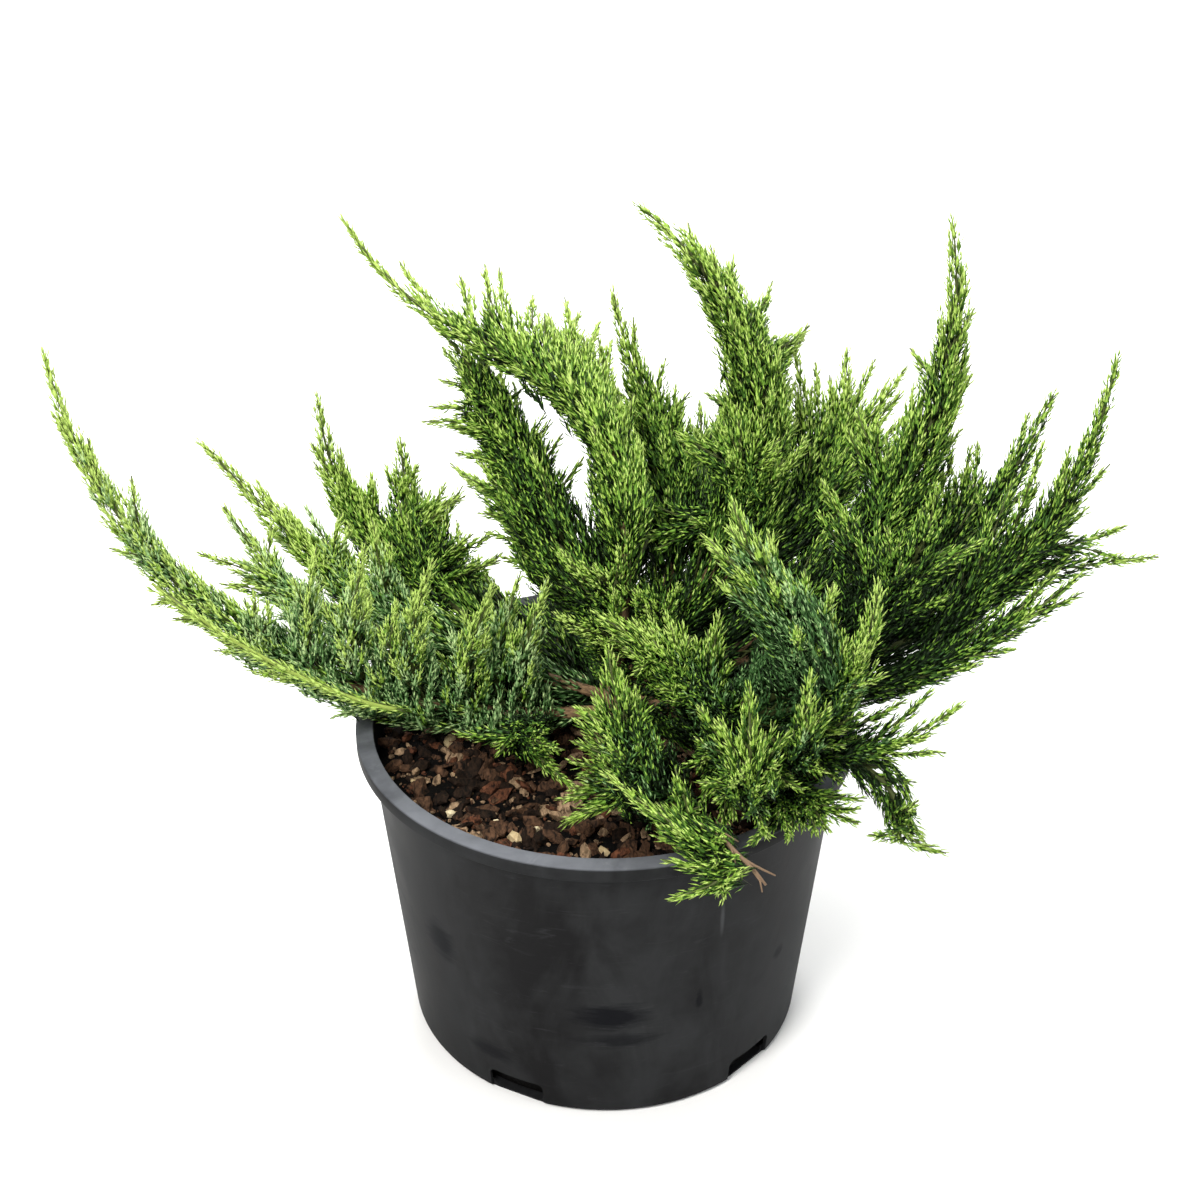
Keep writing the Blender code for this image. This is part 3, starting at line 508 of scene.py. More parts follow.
            (0.12, (-26, -98, 208), 13), (0.10, (-21, -84, 224), 14)],
    ),
    "front_drape": dict(
        parent="left_arm", fork=0.06, start=(-140, -8), tip=(-62, -52, 211), end=(-160, -14),
        pull=(0.45, 0.35), bare=0, girth=2.2, full=11, blue=0.5, light=0.22,
        offshoots=[
            (0.62, (-59, -62, 211), 9), (0.60, (-84, -38, 209), 9), (0.50, (-15, -84, 203), 8),
            (0.50, (-25, -66, 204), 10), (0.40, (-23, -76, 225), 13), (0.32, (-39, -58, 215), 8)],
    ),
    "back_left": dict(
        parent="stem", fork=199, start=(128, 12), tip=(-124, 156, 236), end=(135, 38),
        pull=(0.45, 0.35), bare=0.24, girth=3.3, full=26, blue=0.4, light=0.5,
        offshoots=[(0.58, (-94, 162, 236), 13), (0.55, (-130, 124, 238), 12)],
    ),
    "back": dict(
        parent="stem", fork=207, start=(100, 14), tip=(-76, 236, 262), end=(112, 46),
        pull=(0.45, 0.35), bare=0.22, girth=3.3, full=29, blue=0.3, light=0.5,
        offshoots=[
            (0.58, (-100, 202, 256), 13), (0.52, (-52, 196, 262), 14), (0.68, (-52, 232, 244), 9)],
    ),
    "back_mid": dict(
        parent="back", fork=0.17, start=(80, 18), tip=(26, 246, 258), end=(84, 46),
        pull=(0.45, 0.35), bare=0, girth=2.8, full=28, blue=0.2, light=0.5,
        offshoots=[(0.58, (0, 220, 244), 12), (0.52, (46, 202, 262), 14), (0.68, (42, 236, 242), 9)],
    ),
    "back_right": dict(
        parent="stem", fork=200, start=(60, 12), tip=(112, 230, 282), end=(70, 46),
        pull=(0.45, 0.35), bare=0.22, girth=3.4, full=31, blue=0.4, light=0.5,
        offshoots=[(0.58, (84, 220, 268), 14), (0.52, (128, 190, 276), 15), (0.70, (134, 214, 264), 9)],
    ),
    "back_side": dict(
        parent="back_right", fork=0.12, start=(38, 10), tip=(214, 166, 260), end=(30, 40),
        pull=(0.45, 0.35), bare=0.20, girth=3.0, full=29, blue=0.3, light=0.5,
        offshoots=[(0.58, (188, 176, 258), 12), (0.52, (190, 130, 264), 14), (0.70, (224, 142, 248), 9)],
    ),
    "back_upper": dict(
        parent="back", fork=0.09, start=(72, 50), tip=(84, 172, 340), end=(80, 72),
        pull=(0.50, 0.38), bare=0.18, girth=3.2, full=31, blue=0.2, light=0.45,
        offshoots=[(0.58, (104, 168, 322), 14), (0.55, (58, 164, 318), 15), (0.62, (88, 190, 306), 12)],
    ),
}

# which boughs share a piece of leaves and a piece of twigs
groups = {
    "left_arm": ["left_arm"],
    "left": ["left_low", "left_low_front", "left_back", "left_spire"],
    "upper_left": ["upper_left", "upper_left_inner", "centre_left"],
    "top": ["top", "top_right", "centre"],
    "right_tall": ["right_tall", "right_upper"],
    "right": ["right_spire", "mid_right", "right_low"],
    "front_right": ["right_front", "right_droop", "skirt", "front_right", "big_plume"],
    "front": ["front_lean", "front_plume", "front_plume_outer", "front_low", "front_spire", "front_drape"],
    "back": ["back_left", "back", "back_mid"],
    "back_right": ["back_right", "back_side", "back_upper"],
}


def stemCentre(z):
    part = (z - plan["soilTop"]) / (plan["stemFork"][2] - plan["soilTop"])
    flat = [a + (b - a) * part for a, b in zip(plan["stemFoot"], plan["stemFork"])]
    return np.array([*flat, z])


def stemRadius(z):
    flare = min(max(0.0, 1 - (z - plan["soilTop"]) / plan["flareHeight"]), 1.3)
    return plan["stemRadius"] + (plan["stemFootRadius"] - plan["stemRadius"]) * flare ** 2


def woodRadius(girth, t):
    return plan["tipWood"] + (girth - plan["tipWood"]) * (1 - t) ** 1.2


def layCurves():
    # control points of every bough, parents first
    curves = {}
    waiting = list(boughs)
    while waiting:
        name = waiting.pop(0)
        size = boughs[name]
        if size["parent"] == "stem":
            foot = stemCentre(min(size["fork"], plan["stemFork"][2]))
        elif size["parent"] in curves:
            foot = cubic(curves[size["parent"]], size["fork"])
        else:
            waiting.append(name)
            continue
        tip = np.array(size["tip"], float)
        reach = float(np.linalg.norm(tip - foot))
        near = foot + heading(*size["start"]) * reach * size["pull"][0]
        far = tip - heading(*size["end"]) * reach * size["pull"][1]
        curves[name] = np.array([foot, near, far, tip])
    return curves


def offshootCurve(curve, fork, tip):
    foot = cubic(curve, fork)
    tip = np.array(tip, float)
    reach = float(np.linalg.norm(tip - foot))
    bend = foot + cubicHeading(curve, fork) * reach * 0.28
    return np.array([foot, foot + (bend - foot) * 0.67, tip + (bend - tip) * 0.67, tip])


def massesOf(name):
    cuts = len(boughs[name].get("split", ()))
    return [name] + {0: [], 1: [name + "_end"], 2: [name + "_middle", name + "_end"]}[cuts]


curves = layCurves()


# growth: plume axes, sprays that end on each plume's outline, and cords of scale leaves

growth = {
    "seed": 20, "leafyShare": 0.15, "leastRadius": 3.4, "sprayArea": 56, "offshootFull": 1.3,
    # small flame-shaped shoots on the side of the wide plumes
    "flameGap": 8.5, "flameAngle": 33, "flameLeast": 9, "flameReach": (1.05, 1.45), "flameWidth": (5, 10),
    # share of the plume's radius at which sprays end, and how far ridges lift them
    "depth": (0.7, 1.04), "ridge": 0.25, "ridgeSize": 13, "ridgeStretch": 0.65,
    # degrees: between spray and outline, between a spray's foot and tip, least and most from the axis
    "rise": 13, "curl": 9, "lean": (3, 30), "lift": 0.14, "branchAngle": 38,
    "sprayLength": (11, 26), "sprayCore": 1.2, "coreShade": 0.42, "sprayWood": 0.55, "woodSky": 0.45,
    "cordGap": 1.95, "cordAngle": 18, "cordTurn": 9, "cordLength": (5.5, 8), "cordRadius": 0.58, "cordDepth": 0.9,
    # the cords' face tones: painted shade on a cord's foot and inner faces, and a painted highlight on its outer face
    # towards the tip
    "cordWidest": 0.5, "cordShadeAndHighlight": (-0.26, 0.18),
    # the pale rib: its bough, the part of its length, depth as a share of the plume, and the rest in mm
    "rib": {
        "bough": "left_arm", "line": [(-116, -30, 220), (-146, -33, 227), (-200, -32, 259), (-243, -27, 299)],
        "wood": 1.7, "radius": 3.0, "tone": 0.36, "tint": -0.9, "colour": (138, 156, 72)},
    # cells in which the crown is mapped, ways looked in from each spray, and sprays kept with no sky
    "cell": 5, "looks": 20, "sight": (10, 20, 32, 48, 70), "shadeKept": 0.12,
}


def massProfile(s):
    return np.minimum(1.0, 0.4 + s / 0.2 * 0.6) * np.maximum(1 - s, 0) ** 0.7


def shootProfile(s):
    return np.minimum(1.0, 0.55 + 1.5 * s) * np.maximum(1 - s ** 1.7, 0)


def evenStations(curve, low, high, gap):
    # parts of the curve's length, about "gap" apart
    t = np.linspace(low, high, 60)
    run = np.concatenate([[0], np.cumsum(np.linalg.norm(np.diff(cubic(curve, t), axis=0), axis=1))])
    count = max(int(run[-1] / gap), 2)
    return np.interp(np.linspace(0, run[-1], count), run, t)


def sideFlames(axis, random):
    # shoots that leave a wide plume by the golden angle and turn up along it
    made = []
    roll = random.uniform(0, 2 * math.pi)
    for t in evenStations(axis["curve"], axis["low"], 0.92, growth["flameGap"]):
        roll += golden
        radius = float(axis["radius"](t))
        if radius < growth["flameLeast"]:
            continue
        way = cubicHeading(axis["curve"], t)
        side = turnAbout(anySide(way), way, roll)
        angle = math.radians(growth["flameAngle"] + random.uniform(-5, 5))
        reach = radius * random.uniform(*growth["flameReach"])
        length = reach / math.sin(angle) * 0.85
        foot = cubic(axis["curve"], t)
        out = way * math.cos(angle) + side * math.sin(angle)
        forward = unit(way + 0.25 * side + (0, 0, growth["lift"] * 2))
        knee = foot + out * length * 0.66
        least, most = growth["flameWidth"]
        wide = min(most, least + 0.12 * radius) * random.uniform(0.85, 1.15)
        made.append(dict(
            curve=np.array([foot, foot + out * length * 0.35, knee, knee + forward * length * 0.46]),
            low=0.3, wood=(max(0.7, length * 0.02), 0.35), tone=random.uniform(-0.02, 0.14), tint=0,
            radius=lambda t, r=wide: r * shootProfile(t)))
    return made


def ribAxis():
    # a thin run of pale sprays along the underside of a bough
    rib = growth["rib"]
    return dict(
        curve=np.array(rib["line"], float), low=0, wood=(rib["wood"], 0.8), tone=rib["tone"],
        tint=rib["tint"], radius=lambda t: rib["radius"] * np.ones_like(t))


def axesOf(name):
    # the plume axes of a bough: its own leafy part and its offshoots, sampled from foot to tip
    size = boughs[name]
    leafy = max(size["bare"] * growth["leafyShare"], 0.05)
    axes = [dict(
        curve=curves[name], low=leafy, wood=None, tone=-0.06, tint=0,
        radius=lambda t: size["full"] * massProfile(np.maximum(t - leafy, 0) / (1 - leafy)))]
    for fork, tip, radius in size["offshoots"]:
        shoot = offshootCurve(curves[name], fork, tip)
        wood = max(woodRadius(size["girth"], fork) * 0.62, 0.9)
        axes.append(dict(
            curve=shoot, low=0.1, wood=(wood, 0.4), tone=0.06, tint=0,
            radius=lambda t, r=radius * growth["offshootFull"]: r * shootProfile(t)))
    if name == growth["rib"]["bough"]:
        axes.append(ribAxis())
    random = np.random.default_rng(growth["seed"] + 50 + list(boughs).index(name))
    axes += [flame for axis in axes for flame in sideFlames(axis, random)]
    for axis in axes:
        t = np.linspace(axis["low"], 1, 120)
        axis["t"] = t
        axis["line"] = cubic(axis["curve"], t)
        steps = np.linalg.norm(np.diff(axis["line"], axis=0), axis=1)
        axis["run"] = np.concatenate([[0], np.cumsum(steps)])
        axis["wide"] = axis["radius"](t)
    return axes


class Crown:
    # a map of the cells that lie inside a plume, to tell how much sky a spray has

    def __init__(self, axes):
        cell = growth["cell"]
        centres = np.concatenate([axis["line"][::4] for axis in axes])
        wide = np.concatenate([axis["wide"][::4] for axis in axes]) - 1.5
        self.low = (centres - wide[:, None]).min(0) - cell
        self.shape = np.ceil(((centres + wide[:, None]).max(0) + cell - self.low) / cell).astype(int)
        self.full = np.zeros(self.shape, bool)
        for centre, radius in zip(centres, wide):
            if radius < 2:
                continue
            low = ((centre - radius - self.low) / cell).astype(int)
            high = ((centre + radius - self.low) / cell).astype(int) + 1
            cells = np.stack(np.meshgrid(*[np.arange(a, b) for a, b in zip(low, high)], indexing="ij"), axis=-1)
            gap = np.linalg.norm((cells + 0.5) * cell + self.low - centre, axis=-1)
            block = tuple(slice(a, b) for a, b in zip(low, high))
            self.full[block] |= gap < radius

    def inside(self, points):
        cells = ((points - self.low) / growth["cell"]).astype(int)
        known = np.all((points > self.low) & (cells < self.shape), axis=-1)
        cells = np.clip(cells, 0, self.shape - 1)
        return known & self.full[cells[..., 0], cells[..., 1], cells[..., 2]]

    def sky(self, points):
        # the share of ways from each point that leave the crown
        count = growth["looks"]
        z = 1 - (np.arange(count) + 0.5) * 1.7 / count
        turns = golden * np.arange(count)
        flat = np.sqrt(1 - z * z)
        ways = np.stack([flat * np.cos(turns), flat * np.sin(turns), z], axis=1)
        blocked = np.zeros((len(points), count), bool)
        for reach in growth["sight"]:
            blocked |= self.inside(points[:, None] + ways[None] * reach)
        return 1 - blocked.mean(1)


def ridgeAt(points, ways):
    # long ridges and grooves that run with the plume, from -1 to 1
    along = np.sum(points * ways, axis=1, keepdims=True)
    spots = (points - ways * along * growth["ridgeStretch"]) / growth["ridgeSize"]
    return np.array([noise.noise(Vector(spot)) for spot in spots])


def clearOfPot(points):
    # whether points keep off the soil and the pot's wall and rim
    away = np.hypot(points[:, 0], points[:, 1])
    soilFree = (points[:, 2] > plan["soilTop"] + 2) | (away > pot["rimRadius"] + 2)
    rimFree = (points[:, 2] > pot["height"] + 1) | (away < pot["rimInner"] - 3) | (away > pot["rimRadius"] + 2)
    return soilFree & rimFree


def growSprays(name, axes, crown, random):
    # for each spray: where its wood leaves the axis, its foot, knee and tip, length, tone, tint and sky
    size = boughs[name]
    rows = []
    for axis in axes:
        run, wide, t = axis["run"], axis["wide"], axis["t"]
        girths = 2 * math.pi * np.maximum((wide[1:] + wide[:-1]) / 2, growth["leastRadius"])
        skin = np.concatenate([[0], np.cumsum(girths * np.diff(run))])
        count = max(int(skin[-1] / growth["sprayArea"]), 6)
        asked = (np.arange(count) + random.uniform(0.1, 0.9, count)) / count * skin[-1]
        at = np.interp(asked, skin, run)
        place = np.interp(at, run, t)
        centre = cubic(axis["curve"], place)
        way = cubicHeading(axis["curve"], place)
        reach = np.interp(at, run, wide)
        slope = np.degrees(np.arctan(np.interp(at, run, np.gradient(wide, run))))
        roll = golden * np.arange(count) + random.uniform(-0.6, 0.6, count)
        side = turnAbout(anySide(way), way, roll)
        ridge = ridgeAt(centre + side * reach[:, None], way)
        depth = random.uniform(*growth["depth"], count) + growth["ridge"] * ridge
        lean = np.radians(np.clip(
            slope + growth["rise"] + random.normal(0, 4, count) + 8 * ridge, *growth["lean"]))
        tipWay = unit(way * np.cos(lean)[:, None] + side * np.sin(lean)[:, None] + (0, 0, growth["lift"]))
        lean += math.radians(growth["curl"])
        footWay = unit(way * np.cos(lean)[:, None] + side * np.sin(lean)[:, None])
        length = np.clip(9 + 0.75 * reach, *growth["sprayLength"]) * random.uniform(0.85, 1.15, count)
        tip = centre + side * (reach * depth)[:, None]
        knee = tip - tipWay * length[:, None] * 0.5
        foot = knee - footWay * length[:, None] * 0.5
        back = at - length - reach * depth / math.tan(math.radians(growth["branchAngle"]))
        root = cubic(axis["curve"], np.interp(back, run, t, left=axis["low"] * 0.8))
        share = at / run[-1]
        sky = crown.sky(tip)
        # painted light: the bough's "light" value makes the left boughs' sprays paler as if lit and the right boughs'
        # sprays darker as if in shade; sprays towards a plume's tip are lighter as fresh growth
        tone = 0.24 + axis["tone"] + 0.46 * share ** 1.3 + 0.66 * (size["light"] - 0.5)
        # painted shade: sprays that end deeper in the plume's creases, and sprays with less open sky, are made darker
        tone += 0.34 * (depth - 0.85) + 0.9 * (sky - 0.42) + random.normal(0, 0.07, count)
        tint = size["blue"] + random.normal(0, 0.12) + random.normal(0, 0.1, count) - 0.6 * share
        tint += axis["tint"]
        kept = random.random(count) < np.clip(sky / 0.12, growth["shadeKept"], 1)
        kept &= clearOfPot(tip) & clearOfPot(knee) & clearOfPot(foot)
        rows.append([row[kept] for row in (root, foot, knee, tip, length, tone, tint, sky)])
    return [np.concatenate(column) for column in zip(*rows)]


def growCords(sprays, random):
    # cords of scale leaves wound about each spray: foot, way, side, length, tone and tint
    _, foot, knee, tip, length, tone, tint, _ = sprays
    counts = np.maximum((length / growth["cordGap"]).astype(int), 4)
    home = np.repeat(np.arange(len(foot)), counts)
    turn = np.arange(len(home)) - np.repeat(np.cumsum(counts) - counts, counts)
    s = ((turn + 0.3) / counts[home] * 0.86)[:, None]
    start = (1 - s) ** 2 * foot[home] + 2 * s * (1 - s) * knee[home] + s * s * tip[home]
    ahead = unit((1 - s) * (knee[home] - foot[home]) + s * (tip[home] - knee[home]))
    s = s[:, 0]
    side = turnAbout(anySide(ahead), ahead, golden * turn + random.uniform(-0.5, 0.5, len(home)))
    last = turn == counts[home] - 1
    angle = np.radians(growth["cordAngle"] + random.uniform(-1, 1, len(home)) * growth["cordTurn"]) * np.where(last, 0.1, 1)
    way = unit(ahead * np.cos(angle)[:, None] + side * np.sin(angle)[:, None])
    short, long = growth["cordLength"]
    size = (short + (long - short) * np.sin(math.pi * np.clip(s + 0.15, 0, 1))) * random.uniform(0.85, 1.15, len(home))
    size = np.minimum(size, (1.02 - s) * length[home] + 2.2)
    shade = tone[home] + 0.2 * (s - 0.45) + random.normal(0, 0.09, len(home))
    return start, way, side, size, shade, tint[home]


# name, colour, lightness and blueness; the lighter colours serve both fresh growth and painted highlights, the darker
# ones both the leaves' own dark green and painted shade
leafTones = [
    ("leafShade", (18, 38, 8), -0.1, 0.1), ("leafDark", (58, 94, 28), 0.2, 0),
    ("leafGreen", (102, 142, 46), 0.42, 0), ("leafFresh", (142, 176, 68), 0.64, 0),
    ("leafTip", (172, 198, 100), 0.92, 0),
    ("leafBlueDark", (54, 90, 42), 0.2, 1), ("leafBlue", (94, 134, 74), 0.42, 1),
    ("leafBluePale", (134, 168, 108), 0.68, 1), ("leafBlueTip", (172, 198, 132), 0.95, 1),
]


def leafLooks():
    looks = []
    for name, colour, _, _ in leafTones:
        look = Look(name, Base_Color=srgb(*colour), Roughness=0.6, Specular_IOR_Level=0.22)
        looks.append(look.material)
    return looks


def pickTone(tone, tint):
    # the nearest of the leaf colours to a lightness and a blueness
    places = np.array([[light, 0.45 * blue] for _, _, light, blue in leafTones])
    asked = np.stack([np.clip(tone, -0.1, 1), 0.45 * np.clip(tint, 0, 1)], axis=1)
    return np.argmin(((asked[:, None] - places[None]) ** 2).sum(-1), axis=1)


def slivers(cords, radius, widest, random):
    # slender four-sided solids with their broad edge turned out: points, corners, face sizes and tones
    foot, way, lean, length, tone, tint = cords
    count = len(foot)
    radius = (radius * random.uniform(0.85, 1.15, count))[:, None]
    out = lean + 0.01 * anySide(way)
    out = unit(out - way * np.sum(out * way, axis=1, keepdims=True))
    out = turnAbout(out, way, random.uniform(-0.7, 0.7, count))
    across = np.cross(way, out) * radius
    middle = foot + way * (length * widest)[:, None] + out * radius * growth["cordDepth"]
    tip = foot + way * length[:, None]
    points = np.stack([foot, middle + across, middle - across, tip], axis=1)
    pattern = np.array([0, 1, 2, 3, 2, 1, 0, 3, 1, 0, 2, 3])
    corners = (pattern[None] + 4 * np.arange(count)[:, None]).ravel()
    # painted light on each cord: its outer face towards the tip is made lighter as a highlight, and its other three
    # faces darker as shade
    low, high = growth["cordShadeAndHighlight"] if widest > 0.3 else (0, 0)
    tones = np.stack([pickTone(tone + (high if side == 1 else low), tint) for side in range(4)], axis=1)
    return points.reshape(-1, 3), corners, np.full(4 * count, 3), tones.ravel()


def tubeRows(points, radii, sides):
    # rings of a closed tube round rows of points: points, corners and face sizes
    ways = unit(np.gradient(points, axis=0))
    side = anySide(ways[0])
    rings = []
    for point, way, radius in zip(points, ways, radii):
        side = unit(side - way * float(side @ way))
        other = np.cross(way, side)
        turns = np.arange(sides) * 2 * math.pi / sides
        rings.append(point + radius * (np.cos(turns)[:, None] * side + np.sin(turns)[:, None] * other))
    count = len(points)
    ring = np.arange(count - 1)[:, None] * sides
    here = np.arange(sides)[None]
    after = (here + 1) % sides
    quads = np.stack([ring + here, ring + after, ring + sides + after, ring + sides + here], axis=-1)
    caps = np.concatenate([np.arange(sides)[::-1], (count - 1) * sides + np.arange(sides)])
    corners = np.concatenate([quads.ravel(), caps])
    sizes = np.concatenate([np.full((count - 1) * sides, 4), [sides, sides]])
    return np.concatenate(rings), corners, sizes


def joinRows(parts):
    points, corners, sizes, start = [], [], [], 0
    for p, c, s in parts:
        points.append(p)
        corners.append(c + start)
        sizes.append(s)
        start += len(p)
    return np.concatenate(points), np.concatenate(corners), np.concatenate(sizes)


def growGroup(group, every, crown, looks, twigLook):
    parts, tubes = [], []
    for name in groups[group]:
        random = np.random.default_rng(growth["seed"] + list(boughs).index(name))
        sprays = growSprays(name, every[name], crown, random)
        root, foot, knee, tip, length, tone, tint, sky = sprays
        # painted shade: each spray's core is a dark solid, its colour standing for the shade that shows between the
        # cords
        dim = tone - growth["coreShade"]
        core = (foot, unit(tip - foot), knee - (foot + tip) / 2, length * 0.88, dim, tint)
        parts.append(slivers(core, growth["sprayCore"], 0.4, random))
        parts.append(slivers(growCords(sprays, random), growth["cordRadius"], growth["cordWidest"], random))
        seen = sky > growth["woodSky"]
        span = (foot - root)[seen]
        wood = (root[seen], unit(span), span, np.linalg.norm(span, axis=1) + 2, tone[seen], tint[seen])
        tubes.append(slivers(wood, growth["sprayWood"], 0, random)[:3])
        for axis in every[name]:
            if axis["wood"]:
                t = np.linspace(0, 1, 6)
                thick = axis["wood"][0] + (axis["wood"][1] - axis["wood"][0]) * t
                tubes.append(tubeRows(cubic(axis["curve"], t), thick, 4))
    tones = np.concatenate([part[3] for part in parts])
    points, corners, sizes = joinRows([part[:3] for part in parts])
    triangles = int((sizes - 2).sum()) + sum(int((part[2] - 2).sum()) for part in tubes)
    leaves = addPiece("leaves_" + group, meshFromArrays("leaves_" + group, points, corners, sizes, tones), *looks)
    twigs = addPiece("twigs_" + group, meshFromArrays("twigs_" + group, *joinRows(tubes)), twigLook)
    for piece in (leaves, twigs):
        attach(piece, "root")
    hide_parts(*[mass for name in groups[group] for mass in massesOf(name)])
    print("leaves_%s: %d triangles, twigs %d faces" % (group, triangles, len(twigs.data.polygons)))
    return triangles


def growFoliage():
    looks = leafLooks()
    twigLook = Look("youngTwig", Base_Color=srgb(74, 84, 36), Roughness=0.7).material
    every = {name: axesOf(name) for name in boughs}
    crown = Crown([axis for axes in every.values() for axis in axes])
    print("crown: %d of %d cells" % (crown.full.sum(), crown.full.size))
    total = sum(growGroup(group, every, crown, looks, twigLook) for group in groups)
    print("foliage: %d triangles of leaves and twigs" % total)


growFoliage()


# limbs: the stem and boughs with bark relief

bark = {"sides": 14, "step": 2.2, "ridge": 0.16, "flake": 0.22, "olive": 2.6, "dark": (52, 38, 26), "light": (142, 114, 80)}


def barkLook():
    look = Look("bark", Roughness=0.85)
    where = look.place((1, 1, 1), source="UV")
    stretched = look.place((0.9, 0.16, 1), source="UV")
    strips = look.noise(stretched, 1.6, 6, 0.62, 0.6)
    patches = look.noise(where, 0.12, 3)
    shade = strips * 0.75 + patches * 0.35
    look.feed("Base Color", look.colours(
        shade, (0.36, srgb(*bark["dark"])), (0.52, srgb(98, 74, 50)), (0.66, srgb(*bark["light"]))))
    look.feed("Roughness", 0.72 + 0.25 * strips)
    look.feed("Normal", look.bump(strips, 0.7, 0.0006))
    return look.material


def limbRings(bm, uv, centres, radii, lobes=0):
    # extrudes a ring of edges from centre to centre, with ridges and flakes in the bark
    sides = bark["sides"]
    made = bmesh.ops.create_circle(bm, segments=sides, radius=1)
    ring = made["verts"]
    ways = unit(np.gradient(centres, axis=0))
    side = anySide(ways[0])
    rings = []
    along = 0.0
    for step, (centre, way, radius) in enumerate(zip(centres, ways, radii)):
        if step:
            along += float(np.linalg.norm(centre - centres[step - 1]))
            edges = [bm.edges.get((ring[i], ring[(i + 1) % sides])) for i in range(sides)]
            grown = bmesh.ops.extrude_edge_only(bm, edges=edges)
            fresh = {v for v in grown["geom"] if isinstance(v, bmesh.types.BMVert)}
            ring = [next(e.other_vert(v) for e in v.link_edges if e.other_vert(v) in fresh) for v in ring]
        side = unit(side - way * float(side @ way))
        other = np.cross(way, side)
        for i, vert in enumerate(ring):
            a = 2 * math.pi * i / sides
            spot = Vector((math.cos(a) * 1.8, math.sin(a) * 1.8, along * 0.045 + centres[0][2]))
            flake = Vector((math.cos(a) * 3.1, math.sin(a) * 3.1, along * 0.22 + radius))
            swell = bark["ridge"] * noise.noise(spot * 1.7) + 0.5 * bark["ridge"] * noise.noise(flake)
            wide = radius * (1 + swell) + bark["flake"] * noise.noise(flake * 2.3)
            if lobes:
                wide *= 1 + 0.13 * math.cos(lobes * a) * max(0, 1 - along / (plan["flareHeight"] + 6))
            vert.co = (centre + max(wide, 0.2) * (math.cos(a) * side + math.sin(a) * other)) * mm
        rings.append((ring, along, radius))
    spots = {}
    for ring, along, radius in rings:
        for i, vert in enumerate(ring):
            spots[vert] = (i / sides * 2 * math.pi * max(radius, 2), along)
    thick = {vert: radius for ring, _, radius in rings for vert in ring}
    for face in {f for ring, _, _ in rings for v in ring for f in v.link_faces}:
        loops = face.loops[:]
        face.material_index = int(min(thick[v] for v in face.verts) < bark["olive"])
        wrap = max(spots[l.vert][0] for l in loops)
        for loop in loops:
            u, v = spots[loop.vert]
            if wrap - u > wrap * 0.6:
                u += wrap + wrap / (sides - 1)
            loop[uv].uv = (u, v)
    for end in (rings[0][0], rings[-1][0]):
        bmesh.ops.contextual_create(bm, geom=end)


def buildLimbs():
    bm = bmesh.new()
    uv = bm.loops.layers.uv.new("UVMap")
    heights = np.arange(plan["soilTop"] - 6, plan["stemFork"][2] + 1, bark["step"])
    centres = [stemCentre(z) for z in heights]
    radii = [stemRadius(z) for z in heights]
    top = centres[-1]
    for rise in (0.35, 0.65, 0.86, 0.97):
        centres.append(top + np.array([0, 0, plan["stemRadius"] * rise]))
        radii.append(plan["stemRadius"] * math.sqrt(1 - rise * rise))
    limbRings(bm, uv, np.array(centres), radii, plan["flareLobes"])
    for name, size in boughs.items():
        t = evenStations(curves[name], 0, 0.985, bark["step"] * 1.4)
        limbRings(bm, uv, cubic(curves[name], t), woodRadius(size["girth"], t))
    bmesh.ops.recalc_face_normals(bm, faces=bm.faces[:])
    limbs = pieceFromBmesh("limbs", bm, barkLook(), bpy.data.materials["youngTwig"])
    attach(limbs, "root")
    nodes = [n for n in frame["nodes"] if n == "stem" or n.startswith("bough_")]
    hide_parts(*nodes)
    print("limbs: %d faces" % len(limbs.data.polygons))


buildLimbs()


# pot

def wallRadius(z):
    return pot["foot"] + (pot["wallTop"] - pot["foot"]) * z / (pot["height"] - pot["lip"])


def plasticLook():
    look = Look("potPlastic", Specular_IOR_Level=0.04)
    where = look.place()
    clouds = look.noise(where, 9, 5, 0.6)
    smears = look.noise(look.place((1, 1, 0.35)), 26, 6, 0.62, 0.8)
    scuffs = look.noise(look.place((0.5, 0.5, 3.2), (0.3, 0.2, 0)), 60, 7, 0.7, 1.2)
    grain = look.noise(where, 900, 2)
    dust = look.ramp(clouds * 0.6 + smears * 0.4, (0.42, 0), (0.6, 1))
    marks = look.ramp(scuffs, (0.58, 0), (0.74, 1))
    body = look.mix(dust, srgb(20, 20, 21), srgb(41, 42, 43))
    for centre, half, strength in pot["smudges"]:
        scale = tuple(1 / (side * mm) for side in half)
        shift = tuple(-middle / side for middle, side in zip(centre, half))
        near = look.node("Mapping", {}, {"Vector": look.node("TexCoord", out=3), "Location": shift, "Scale": scale})
        away = look.node("VectorMath", {"operation": "LENGTH"}, {0: near}, out=1)
        mask = look.ramp(0.5 * away + 0.8 * scuffs, (0.6, 1), (0.93, 0)) if strength > 0 else look.ramp(away, (0.3, 1), (1, 0))
        body = look.mix(mask * abs(strength), body, srgb(5, 6, 11) if strength > 0 else srgb(74, 75, 77))
    # the rim's top face is painted pale blue-grey and mottled by the dust and scuffs: partly the rim's own paler
    # colour, partly a painted highlight where the top faces the light
    top = look.node("SeparateXYZ", {}, {0: look.place()}, out=2)
    body = look.mix(look.ramp(top, (0.1955, 0), (0.1962, 1)) * (0.4 + 0.4 * dust + 0.6 * marks), body, srgb(186, 190, 200))
    look.feed("Base Color", look.mix(marks * 0.35, body, srgb(60, 61, 63)))
    look.feed("Roughness", 0.46 + 0.14 * dust + 0.12 * marks)
    fine = look.bump(grain, 0.12, 0.0002)
    look.feed("Normal", look.bump(smears, 0.14, 0.0012, fine))
    return look.material


